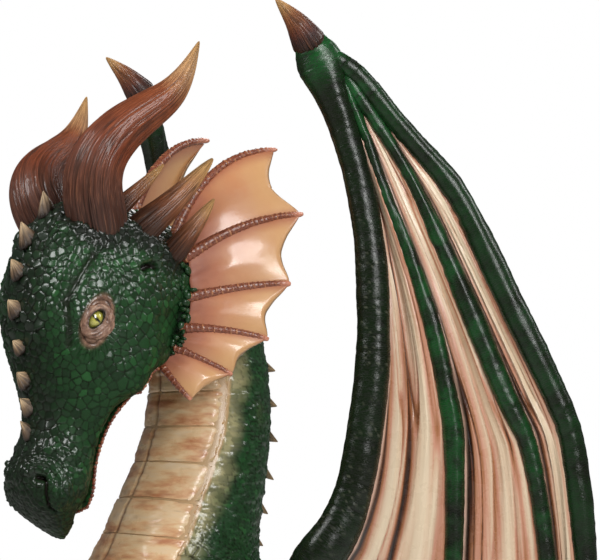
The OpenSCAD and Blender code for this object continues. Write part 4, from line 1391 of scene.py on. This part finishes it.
def make_lids(side, material):
    """Wrinkled lids round one eye."""
    lids = copy_node(f"{side}_eyelids", f"{side}_lids")
    soften(lids, 3)
    co = places(lids)
    middle, _, long_way, short_way = eye_seat(side)
    away = co - middle
    ring = ring_of(away, long_way, short_way)
    closed = smooth(1.0, 0.5, ring)
    for way, squeeze, more in zip((long_way, short_way), LID_SQUEEZE, LID_CLOSED):
        co = co - (away @ way * (squeeze + more * closed))[:, None] * way
    co = co - short_way * (LID_SHIFT * smooth(0.5, 1.0, ring))[:, None]
    ring = ring_of(co - middle, long_way, short_way)
    folds = np.sin(ring * 34 + noise(co, 0.016, 3) * 3.2) * (0.6 + 0.4 * noise(co, 0.01, 14))
    rough = folds * 0.0016 + noise(co, 0.005, 4) * 0.0008
    set_places(lids, co + outward(lids) * rough[:, None])
    # The hollows of the folds, marked for painted shade
    mark(lids, "groove", smooth(0.1, 1.0, -folds) * 0.8)
    mark(lids, "rim", 1 - smooth(0.37, 0.48, ring))
    finish_piece(lids, "statue", "lid_paint", material, f"{side}_eyelids")


# Horns, spikes and spines


# How much thicker a claw is near its root, and how far its end is tucked into the hand
CLAW_ROOT = 0.0035
CLAW_TUCK = 0.012


def make_horns():
    """Horns and claws with fibres along them. Returns the horns that stand on the head."""
    main_paint = horn_paint("horn_paint", [
        (0.0, tint(54, 34, 27)), (0.10, tint(74, 46, 37)), (0.2, tint(96, 58, 44)),
        (0.34, tint(117, 55, 30)), (0.7, tint(133, 68, 36)), (0.86, TAN), (0.98, GOLD_TAN),
    ])
    temple_paint = horn_paint("temple_horn_paint", [
        (0.0, UMBER), (0.14, tint(62, 36, 22)), (0.32, tint(118, 68, 40)), (0.56, tint(168, 114, 78)),
        (0.85, GOLD_TAN),
    ])
    claw_paint = horn_paint("claw_paint", [
        (0.1, UMBER), (0.24, tint(52, 30, 30)), (0.38, tint(96, 50, 34)), (0.66, tint(150, 94, 56)),
        (0.9, GOLD_TAN),
    ])
    made = []
    for side in SIDES:
        horn, _ = limb_piece(f"{side}_horn", f"{side}_main_horn", 3, sink=0.03, round_it=1)
        cut_grain(horn, 0.0024, 7.5, 0.34, 21)
        finish_piece(horn, "statue", "horn_paint", main_paint, f"{side}_horn")
        temple, _ = limb_piece(f"{side}_temple_horns", f"{side}_temple_horn_set", 3, sink=0.02, round_it=1)
        cut_grain(temple, 0.0022, 4.5, 0.14, 22)
        finish_piece(temple, "statue", "horn_paint", temple_paint, f"{side}_temple_horns")
        claw, _ = limb_piece(f"{side}_wing_claw", f"{side}_thumb_claw", 3, sink=0.015, round_it=1)
        share = marked(claw, "share")
        swell(claw, smooth(0.95, 0.1, share) * CLAW_ROOT - smooth(0.1, 0.0, share) * CLAW_TUCK)
        cut_grain(claw, 0.0020, 4.5, 0.12, 23)
        finish_piece(claw, f"{side}_wing", "horn_paint", claw_paint, f"{side}_wing_claw")
        made += [horn, temple]
    return made


def make_spikes(ridge, saw):
    """Spikes down the face, and saw-tooth spines up the neck and nape."""
    spikes, _ = limb_piece("ridge_spikes", "face_ridge_spikes", 2, round_it=1)
    cut_grain(spikes, 0.0016, 3.0, 0.08, 31)
    finish_piece(spikes, "statue", "spike_paint", ridge, "ridge_spikes")
    for node, name in (("neck_spines", "neck_saw"), ("nape_spines", "nape_saw")):
        spines, _ = limb_piece(node, name, 2)
        cut_grain(spines, 0.0016, 3.0, 0.08, 33)
        finish_piece(spines, "statue", "skin_paint", saw, node)


# Frill


# Distance between the ticks on a rib, and how high they and the lumps stand
RIB_RIDGE = 0.0105
TICK_HEIGHT = 0.0014
RIB_LUMP = 0.0005


def make_ribs(side, material):
    """Ribs with thin raised ticks across them."""
    ribs, lines = limb_piece(f"{side}_frill_ribs", f"{side}_ridged_ribs", 2, along=3)
    run = marked(ribs, "run")
    share = marked(ribs, "share")
    lean = marked(ribs, "turn_y") * 0.9
    beat = np.sin(run / RIB_RIDGE * 2 * math.pi + lean + noise(places(ribs), 0.03, 6) * 1.4)
    tick = smooth(0.7, 1.0, beat) * smooth(1.0, 0.9, share)
    lumpy = noise(limb_grid(ribs, 1.6, 0.012), 1.0, 7)
    swell(ribs, tick * TICK_HEIGHT + lumpy * RIB_LUMP)
    # The raised ticks, marked for their tan painted highlights
    mark(ribs, "ridge", tick)
    finish_piece(ribs, "statue", "rib_paint", material, f"{side}_frill_ribs")
    return lines


def islands(piece):
    """The separate solids of a mesh, as lists of vertices."""
    links = vertex_links(piece.data)
    left = set(range(len(links)))
    found = []
    while left:
        start = min(left)
        group = [v for ring in rings_from(links, start) for v in ring]
        left.difference_update(group)
        found.append(np.array(group))
    return found


def lift_sheet(piece, height, face, side):
    """Moves both faces of a thin sheet the same way, so that its thickness stays."""
    front = np.array(face) * [SIDES[side], 1, 1]
    swell(piece, np.sign((outward(piece) * front).sum(1)) * height)


SCALLOP = 0.017
FRILL_SLACK = 0.009
FRILL_RIPPLE = 0.003
FRILL_FACE = (0.75, -0.6, 0.1)


def panel_ways(co, panels, lines):
    """Way across each panel from rib to rib, way down it, and how far its edge is scalloped."""
    across = np.zeros(len(co))
    down = np.zeros(len(co))
    ways = np.zeros(co.shape)
    for panel in panels:
        pairs = [near_path(co[panel], line["middles"]) for line in lines]
        order = np.argsort([away.mean() for away, _ in pairs])[:2]
        (near_a, way_a), (near_b, way_b) = (pairs[i] for i in sorted(order))
        share = near_a / (near_a + near_b)
        across[panel] = share
        down[panel] = way_a * (1 - share) + way_b * share
        first, second = (lines[i]["middles"] for i in order)
        way = (first[-1] - first[0]) + (second[-1] - second[0])
        width = np.linalg.norm(first[-1] - second[-1])
        ways[panel] = way / np.linalg.norm(way) * SCALLOP * smooth(0.05, 0.13, width)
    return across, down, ways


def make_frill(side, lines, material):
    """Skin stretched between the ribs, slack in the middle and thick at its scalloped edge."""
    frill = copy_node(f"{side}_frill", f"{side}_frill_skin")
    crease_corners(frill, 50, 0.7)
    soften(frill, 3)
    co = places(frill)
    across, down, ways = panel_ways(co, islands(frill), lines)
    slack = np.sin(across * math.pi)
    ripple = noise(np.column_stack([across * 5, down * 1.3, co[:, 2] * 3]), 1.0, 8)
    height = FRILL_SLACK * slack * smooth(0.05, 0.4, down) + ripple * FRILL_RIPPLE * slack
    lift_sheet(frill, height, FRILL_FACE, side)
    hollow = slack ** 2 * smooth(0.45, 1.0, down)
    set_places(frill, places(frill) - ways * hollow[:, None])
    mark(frill, "down", down)
    mark(frill, "seam", smooth(0.24, 0.02, across) * 0.8 + smooth(0.88, 0.99, across) * 0.5)
    finish_piece(frill, "statue", "frill_paint", material, f"{side}_frill")


# Belly plates


PLATE_TUCK = 0.005
PLATE_WRINKLE = 0.0016
PLATE_CREASE = 0.003


def make_plates(material):
    """Wrinkled belly plates, each with a crease down its middle."""
    made = []
    for node, name in (("throat_plates", "throat_plate_set"), ("chest_plates", "chest_plate_set")):
        plates = copy_node(node, name)
        crease_corners(plates, 50, 0.8)
        soften(plates, 3)
        co = places(plates)
        wrinkle = noise(co * [0.8, 1, 3.4], 0.03, 41) + 0.5 * noise(co * [0.8, 1, 3.4], 0.014, 42)
        crease = hill(co[:, 0], -0.004 + 0.004 * noise(co, 0.06, 43), 0.0035)
        width = np.zeros(len(co))
        for group in islands(plates):
            width[group] = np.abs(co[group, 0]) / np.abs(co[group, 0]).max()
        tuck = smooth(0.88, 1.0, width) * PLATE_TUCK
        swell(plates, wrinkle * PLATE_WRINKLE - crease * PLATE_CREASE - tuck)
        # The middle crease and wrinkle hollows, marked for painted shade
        mark(plates, "groove", np.clip(crease * 0.9 + smooth(0.3, 1.0, -wrinkle) * 0.35, 0, 1))
        mark(plates, "edge", smooth(0.86, 1.0, width) * 0.4)
        finish_piece(plates, "statue", "belly_paint", material, node)
        made.append(plates)
    return made


# Jaw and lip


BEAD_OVERLAP = 0.62


def bead(name):
    """One small oval bead of the lip."""
    bpy.ops.object.select_all(action="DESELECT")
    bpy.ops.mesh.primitive_ico_sphere_add(subdivisions=2, radius=1)
    piece = bpy.context.active_object
    piece.name = name
    return piece


def bead_row(name, path, sizes, seed, unruly=0.06):
    """Oval beads side by side along a path, as one piece."""
    random = np.random.default_rng(seed)
    path = np.asarray(path)
    legs = np.linalg.norm(np.diff(path, axis=0), axis=1)
    reach = np.concatenate([[0], np.cumsum(legs)])
    count = int(reach[-1] / sizes[0])
    made = []
    pattern = bead(name)
    unit = places(pattern)
    for i in range(count):
        at = (i + 0.5) / count * reach[-1]
        k = min(np.searchsorted(reach, at), len(legs)) - 1
        along = (path[k + 1] - path[k]) / legs[k]
        middle = path[k] + along * (at - reach[k])
        side = np.cross(along, [0.0, 0.0, 1.0])
        side /= np.linalg.norm(side)
        only(pattern)
        bpy.ops.object.duplicate()
        copy = bpy.context.active_object
        stretch = random.uniform(0.8 - unruly, 1.15 + unruly, 3) * np.array(sizes) * BEAD_OVERLAP
        shape = unit * stretch @ np.array([along, side, np.cross(side, along)])
        set_places(copy, shape + middle + random.normal(0, sizes[1] * unruly, 3))
        made.append(copy)
    bpy.data.objects.remove(pattern)
    return join_pieces(made, name)


JAW_VOXEL = 0.0025
JAW_SCALE = 0.0105
JAW_BOLD = 0.8
# Where the lip is carried on behind the jaw
LIP_STATIONS = (-0.118, -0.132, -0.146, -0.160, -0.174, -0.186, -0.196)


def jaw_corner(side):
    """Points along the lower outer edge of the head, behind the jaw."""
    skin = places(bpy.data.objects[f"{side}_head_skin"])
    skin = skin[(SIDES[side] * skin[:, 0] > 0.05) & (skin[:, 2] < 0.86)]
    found = []
    for station in LIP_STATIONS:
        near = skin[np.abs(skin[:, 1] - station) < 0.003]
        found.append(near[(0.45 * SIDES[side] * near[:, 0] - 0.9 * near[:, 2]).argmax()])
    return found


# The back edge of the left cheek in mm, and the step forward to a second row of scales
CHEEK_EDGE = [
    (107, -95, 1012), (116, -89, 975), (119, -86, 940), (120, -85, 905), (119, -88, 872), (115, -97, 842),
    (108, -112, 815),
]
CHEEK_ROW_GAP = np.array([0.001, -0.012, 0.002])


def make_cheek_beads(material):
    """Two rows of round scales along the back edge of each cheek, over the roots of the ribs."""
    for side, sign in SIDES.items():
        edge = np.array(CHEEK_EDGE) * MM * [sign, 1, 1]
        rear = bead_row(f"{side}_cheek_edge_scales", edge, (0.0125, 0.015, 0.010), 57, 0.28)
        ahead = edge + CHEEK_ROW_GAP * [sign, 1, 1]
        front = bead_row(f"{side}_cheek_row_scales", ahead, (0.0115, 0.014, 0.009), 58, 0.28)
        for row in (rear, front):
            mark(row, "tone", noise(places(row), 0.02, 59) * 0.5 + 0.4)
            finish_piece(row, "statue", "skin_paint", material)


def make_jaw(skin_material, material):
    """The closed lower jaw, pebbled as the head is, with its beaded copper lip."""
    jaw = copy_node("lower_jaw", "jaw")
    links = vertex_links(jaw.data)
    co = places(jaw)
    hub = max(range(len(links)), key=lambda v: len(links[v]))
    rings = rings_from(links, hub)[1:-1]
    soften(jaw, 2)
    even_mesh(jaw, JAW_VOXEL)
    shape = places(jaw)
    facing = outward(jaw)
    scales, groove, tone = pebble(shape, np.full(len(shape), JAW_SCALE), np.full(len(shape), JAW_BOLD))
    swell(jaw, scales)
    mark(jaw, "groove", groove)
    mark(jaw, "tone", tone)
    mark(jaw, "under", facing_down(facing))
    mark(jaw, "pale", smooth(0.05, 0.02, np.abs(shape[:, 0])) * 0.7)
    finish_piece(jaw, "statue", "skin_paint", skin_material, "lower_jaw")
    for side, sign in SIDES.items():
        edge = [co[max(ring, key=lambda v: sign * co[v, 0])] for ring in rings]
        lip = bead_row(f"{side}_lip", jaw_corner(side) + edge, (0.0075, 0.0062, 0.0055), 53)
        finish_piece(lip, "statue", "lip_paint", material)


# Wings

# How green each wing bone is, from black to leaf green
LEAF = {"wing_arm": 0.12, "inner_finger": 0.75, "middle_finger": 0.65, "leading_finger": 0.45}
HAND_LEAF = 0.9
BONE_WRINKLE = 0.0009
BONE_FOLD = 0.0014


def hand_side(bone, piece):
    """How far a bone's surface lies from the hand, as a share of its length."""
    share = marked(piece, "share")
    return 1 - share if bone == "wing_arm" else share


# How far the arm's end is tucked under the claw
HAND_TUCK = 0.0035
# Distance between the nicks on an arm, and the number of rows round it
NICK_PITCH = 0.019
NICK_ROWS = 20


def nicks(piece):
    """Small pale crescents in rows, like the rims of scales, on the arm's rounded front."""
    run = marked(piece, "run") / NICK_PITCH
    turn = np.arctan2(marked(piece, "turn_y"), marked(piece, "turn_x")) / (2 * math.pi) * NICK_ROWS
    row = np.floor(turn)
    beat = run + 0.5 * (row % 2)
    across = turn - row - 0.5
    bow = beat - np.floor(beat) - 0.5 + 0.9 * across ** 2
    chance = fixed_random(np.column_stack([row, np.floor(beat), row * 0]).astype(np.int64), 63)
    share = marked(piece, "share")
    where = smooth(0.1, 0.2, share) * smooth(0.75, 0.6, share)
    return hill(bow, 0, 0.07) * smooth(0.42, 0.3, np.abs(across)) * (chance > 0.6) * where * 0.5


def make_bones(side, material):
    """Arm and fingers, with wrinkles that run across them. Returns the middle line of each."""
    lines = {}
    for bone, leaf in LEAF.items():
        piece, made = limb_piece(f"{side}_{bone}", f"{side}_{bone}_skin", 2, along=3)
        lines[bone] = made[0]
        wrinkle = noise(limb_grid(piece, 0.8, 0.008), 1.0, 61)
        folds = noise(limb_grid(piece, 1.2, 0.06), 1.0, 62)
        height = wrinkle * BONE_WRINKLE + folds * BONE_FOLD
        if bone == "wing_arm":
            height -= smooth(0.955, 1.0, marked(piece, "share")) * HAND_TUCK
        swell(piece, height)
        mark(piece, "groove", smooth(0.15, 0.8, -wrinkle))
        mark(piece, "nick", nicks(piece) if bone == "wing_arm" else np.zeros(len(wrinkle)))
        mark(piece, "leaf", leaf + (HAND_LEAF - leaf) * smooth(0.13, 0.02, hand_side(bone, piece)))
        finish_piece(piece, f"{side}_wing", "skin_paint", material, f"{side}_{bone}")
    return lines


WEB_EDGES = {
    "inner": ("wing_arm", "inner_finger"),
    "middle": ("inner_finger", "middle_finger"),
    "outer": ("middle_finger", "leading_finger"),
}
# Painted light on the ridges and painted shade in the hollows, darkest beside the bones, from the arm side
# to the tip side: place, half width, lightness
WEB_FOLDS = {
    "inner": [(0.02, 0.05, -1.0), (0.22, 0.08, 0.5), (0.41, 0.05, -1.2), (0.70, 0.13, 0.8),
              (0.90, 0.06, -0.35), (1.0, 0.03, -0.6)],
    "middle": [(0.04, 0.12, -1.3), (0.26, 0.07, -0.5), (0.62, 0.15, 0.8), (0.84, 0.05, -0.7),
               (0.93, 0.04, 0.3), (1.0, 0.03, -0.5)],
    "outer": [(0.10, 0.17, -1.3), (0.62, 0.16, 0.8), (0.86, 0.05, -0.3), (1.0, 0.05, -0.6)],
}
CREASE_DEPTH = 0.0045
WEB_FACE = (0.743, -0.669, 0)
WEB_SWAY = 0.05
# Width between two bones at which the folds have their full depth
FULL_ROOM = 0.09


def bone_width(line, way):
    """Half width of a bone at a share of the way along it."""
    return np.interp(way, line["reach"] / line["reach"][-1], line["widths"])


def room_of(across):
    """1 half way between two bones and 0 at both."""
    return np.sin(np.clip(across, 0, 1) * math.pi)


def make_web(side, web, lines, material):
    """Wing skin between two bones, hanging in lengthwise folds that meet at the wrist."""
    node = f"{side}_{web}_web"
    piece = copy_node(node, node + "_skin")
    soften(piece, 3)
    co = places(piece)
    near, free = [], []
    for bone in WEB_EDGES[web]:
        away, way = near_path(co, lines[bone]["middles"])
        near.append(away)
        free.append(away - bone_width(lines[bone], way))
    across = near[0] / (near[0] + near[1])
    down = (co[:, 2].max() - co[:, 2]) / (co[:, 2].max() - co[:, 2].min())
    sway = across + WEB_SWAY * np.sin(down * 7 + 1.0) * room_of(across)
    gaps = np.maximum(free, 0)
    open_way = gaps[0] / np.maximum(gaps[0] + gaps[1], 1e-6)
    open_way += WEB_SWAY * np.sin(down * 9 + len(web)) * room_of(across)
    fold_light_and_shade = sum(light * hill(open_way, at, half) for at, half, light in WEB_FOLDS[web])
    grid = np.column_stack([sway * 8, down * 2.0, np.full(len(co), len(web))])
    pleat = 1 - 2 * np.abs(noise(grid, 1.0, 71))
    crease = smooth(0.72, 1.0, 1 - np.abs(noise(grid * 1.4, 1.0, 72)) * 1.6)
    room = np.minimum(1, (near[0] + near[1]) / FULL_ROOM) * room_of(across)
    lift_sheet(piece, (pleat * 1.2 - crease) * CREASE_DEPTH * room, WEB_FACE, side)
    # Painted light on the ridges and pleats, painted shade in the creases and beside the bones
    mark(piece, "fold_light_and_shade", np.clip(0.58 + 0.45 * fold_light_and_shade + 0.14 * pleat - 0.35 * crease * room, 0, 1))
    mark(piece, "hem", hill(free[0], 0.003, 0.003))
    mark(piece, "across", across)
    mark(piece, "down", down)
    finish_piece(piece, f"{side}_wing", "web_paint", material, node)


# Stand and fittings


BROKEN_EDGE = 0.0015
PLATE_EDGE = 0.002


def make_fittings(steel, bright, knob, wood):
    """Machined fittings with broken edges, and plain paint on the frame inside."""
    machined = [("base_plate", "floor_plate", PLATE_EDGE, "statue", "steel", steel)]
    for side in SIDES:
        machined += [
            (f"{side}_shoulder_cup", f"{side}_wing_cup", BROKEN_EDGE, "statue", "steel", steel),
            (f"{side}_wing_tenon", f"{side}_wing_peg", BROKEN_EDGE, f"{side}_wing", "steel", bright),
            (f"{side}_clamp_knob", f"{side}_knob", BROKEN_EDGE, f"{side}_lock", "knob", knob),
        ]
    for node, name, edge, body, slot, material in machined:
        finish_piece(bevelled_copy(node, name, edge), body, slot, material, node, flat_above=40)
    inside = {
        "foot_brackets": steel, "mast_tube": bright, "mast_cap": steel, "neck_tube": bright,
        "neck_bulkhead": wood, "head_bulkhead": wood, "neck_band": wood, "joint_bolts_set": bright,
        "left_brace": steel, "right_brace": steel,
    }
    for node, material in inside.items():
        NODES[node].data.materials.clear()
        NODES[node].data.materials.append(material)


# Studio


AIM = Vector((0.150, 0.170, 0.980))
VIEW_AZIMUTH = math.radians(48)
VIEW_ELEVATION = math.radians(-7)
VIEW_DISTANCE = 3.0
LENS = 90.7


def from_aim(azimuth, elevation, distance):
    """A place round the aim point, at an azimuth and elevation in radians."""
    level = math.cos(elevation)
    way = Vector((math.sin(azimuth) * level, -math.cos(azimuth) * level, math.sin(elevation)))
    return AIM + way * distance


def turn_to_aim(thing):
    """Points a camera or lamp at the aim point."""
    thing.rotation_euler = (AIM - thing.location).to_track_quat("-Z", "Y").to_euler()


def make_camera():
    """The camera, where the photographer stood."""
    bpy.ops.object.camera_add(location=from_aim(VIEW_AZIMUTH, VIEW_ELEVATION, VIEW_DISTANCE))
    camera = bpy.context.active_object
    camera.data.sensor_width = 36
    camera.data.lens = LENS
    turn_to_aim(camera)
    bpy.context.scene.camera = camera


def softbox(name, azimuth, elevation, distance, width, height, power):
    """A soft lamp at an azimuth and elevation in degrees round the aim point."""
    place = from_aim(math.radians(azimuth), math.radians(elevation), distance)
    bpy.ops.object.light_add(type="AREA", location=place)
    lamp = bpy.context.active_object
    lamp.name = name
    lamp.data.shape = "RECTANGLE"
    lamp.data.size = width
    lamp.data.size_y = height
    lamp.data.energy = power
    turn_to_aim(lamp)


WHITE = (1, 1, 1, 1)
WARM_WHITE = (1, 0.99, 0.97, 1)
FLOOR_RADIUS = 7.0
FLOOR_DROP = 0.0005


def make_floor():
    """A pale floor that fades into the white background."""
    bpy.ops.object.select_all(action="DESELECT")
    place = (0, 0, -FLOOR_DROP)
    bpy.ops.mesh.primitive_circle_add(vertices=96, radius=FLOOR_RADIUS, fill_type="NGON", location=place)
    floor = bpy.context.active_object
    floor.name = "studio_floor"
    floor.data.materials.append(floor_paint())


def floor_paint():
    """Pale grey near the part, and as white as the background further out."""
    material, tree = new_material("studio_floor", 0.9)
    place = place_on(tree)
    speck = lumps(tree, place, 30.0)
    colour = colour_steps(tree, speck, [(0.3, tint(206, 206, 204)), (0.7, tint(216, 216, 214))])
    away = add(tree, "ShaderNodeVectorMath", {0: place}, operation="LENGTH").outputs["Value"]
    fade = between(tree, away, 0.9, 2.4)
    path = add(tree, "ShaderNodeLightPath").outputs
    seen = maths(tree, "MULTIPLY", fade, path["Is Camera Ray"])
    glow = add(tree, "ShaderNodeEmission", {"Color": WHITE, "Strength": 1.0}).outputs[0]
    paint = tree.nodes["Principled BSDF"].outputs[0]
    mixed = add(tree, "ShaderNodeMixShader", {0: seen, 1: paint, 2: glow}).outputs[0]
    tree.links.new(mixed, tree.nodes["Material Output"].inputs["Surface"])
    return lay_paint(material, colour)


# Strength of the grey room, of the same room in a glossy coat, and the share of white that shows there
WORLD_LIGHT = 0.38
WORLD_IN_GLOSS = 0.06
WHITE_IN_GLOSS = 0.04


def make_world():
    """White to the camera, and a dim grey room to the paint."""
    world = bpy.data.worlds.new("studio")
    bpy.context.scene.world = world
    world.use_nodes = True
    tree = world.node_tree
    tree.nodes.clear()
    path = add(tree, "ShaderNodeLightPath").outputs
    gloss = maths(tree, "MULTIPLY", path["Is Glossy Ray"], WHITE_IN_GLOSS)
    seen = maths(tree, "MAXIMUM", path["Is Camera Ray"], path["Is Transmission Ray"])
    seen = maths(tree, "MAXIMUM", seen, gloss)
    room, white, dark = (
        add(tree, "ShaderNodeBackground", {"Color": colour, "Strength": strength}).outputs[0]
        for colour, strength in ((WARM_WHITE, WORLD_LIGHT), (WHITE, 1.0), (WHITE, WORLD_IN_GLOSS))
    )
    lit = add(tree, "ShaderNodeMixShader", {0: path["Is Glossy Ray"], 1: room, 2: dark}).outputs[0]
    shown = add(tree, "ShaderNodeMixShader", {0: seen, 1: lit, 2: white}).outputs[0]
    add(tree, "ShaderNodeOutputWorld", {"Surface": shown}, is_active_output=True)


def make_studio():
    """Camera, white room, floor and four soft lamps."""
    bpy.context.scene.view_settings.view_transform = "Standard"
    make_camera()
    make_world()
    make_floor()
    softbox("right_softbox", 74, 22, 2.6, 0.7, 1.5, 46)
    softbox("left_softbox", -6, 34, 2.6, 0.8, 1.2, 34)
    softbox("rim_softbox", 138, 34, 2.8, 0.6, 1.2, 22)
    softbox("back_softbox", 215, 45, 2.8, 1.4, 0.8, 18)


def build_statue():
    """Paints and makes every piece that shows."""
    skin = scale_paint()
    make_skin(skin, make_plates(belly_paint()), make_horns())
    make_cheek_beads(skin)
    lids = lid_paint()
    eyes = eye_paint()
    ribs = rib_paint()
    frill = frill_paint()
    bones = bone_paint()
    webs = web_paint()
    make_spikes(
        spike_paint("ridge_spike_paint", UMBER, tint(120, 96, 72), tint(206, 176, 136)),
        spike_paint("saw_paint", GREEN_BLACK, GREEN_DARK, tint(150, 124, 88)),
    )
    make_jaw(skin, lip_paint())
    for side in SIDES:
        make_eye(side, eyes)
        make_lids(side, lids)
        make_frill(side, make_ribs(side, ribs), frill)
        lines = make_bones(side, bones)
        for web in WEBS:
            make_web(side, web, lines, webs)
    make_fittings(
        steel_paint("black_steel", tint(52, 54, 56), tint(112, 106, 98)),
        steel_paint("grey_steel", tint(138, 140, 142), tint(176, 174, 170)),
        steel_paint("knob_black", tint(24, 24, 26), tint(70, 68, 66)),
        plywood_paint(),
    )


make_studio()
build_statue()
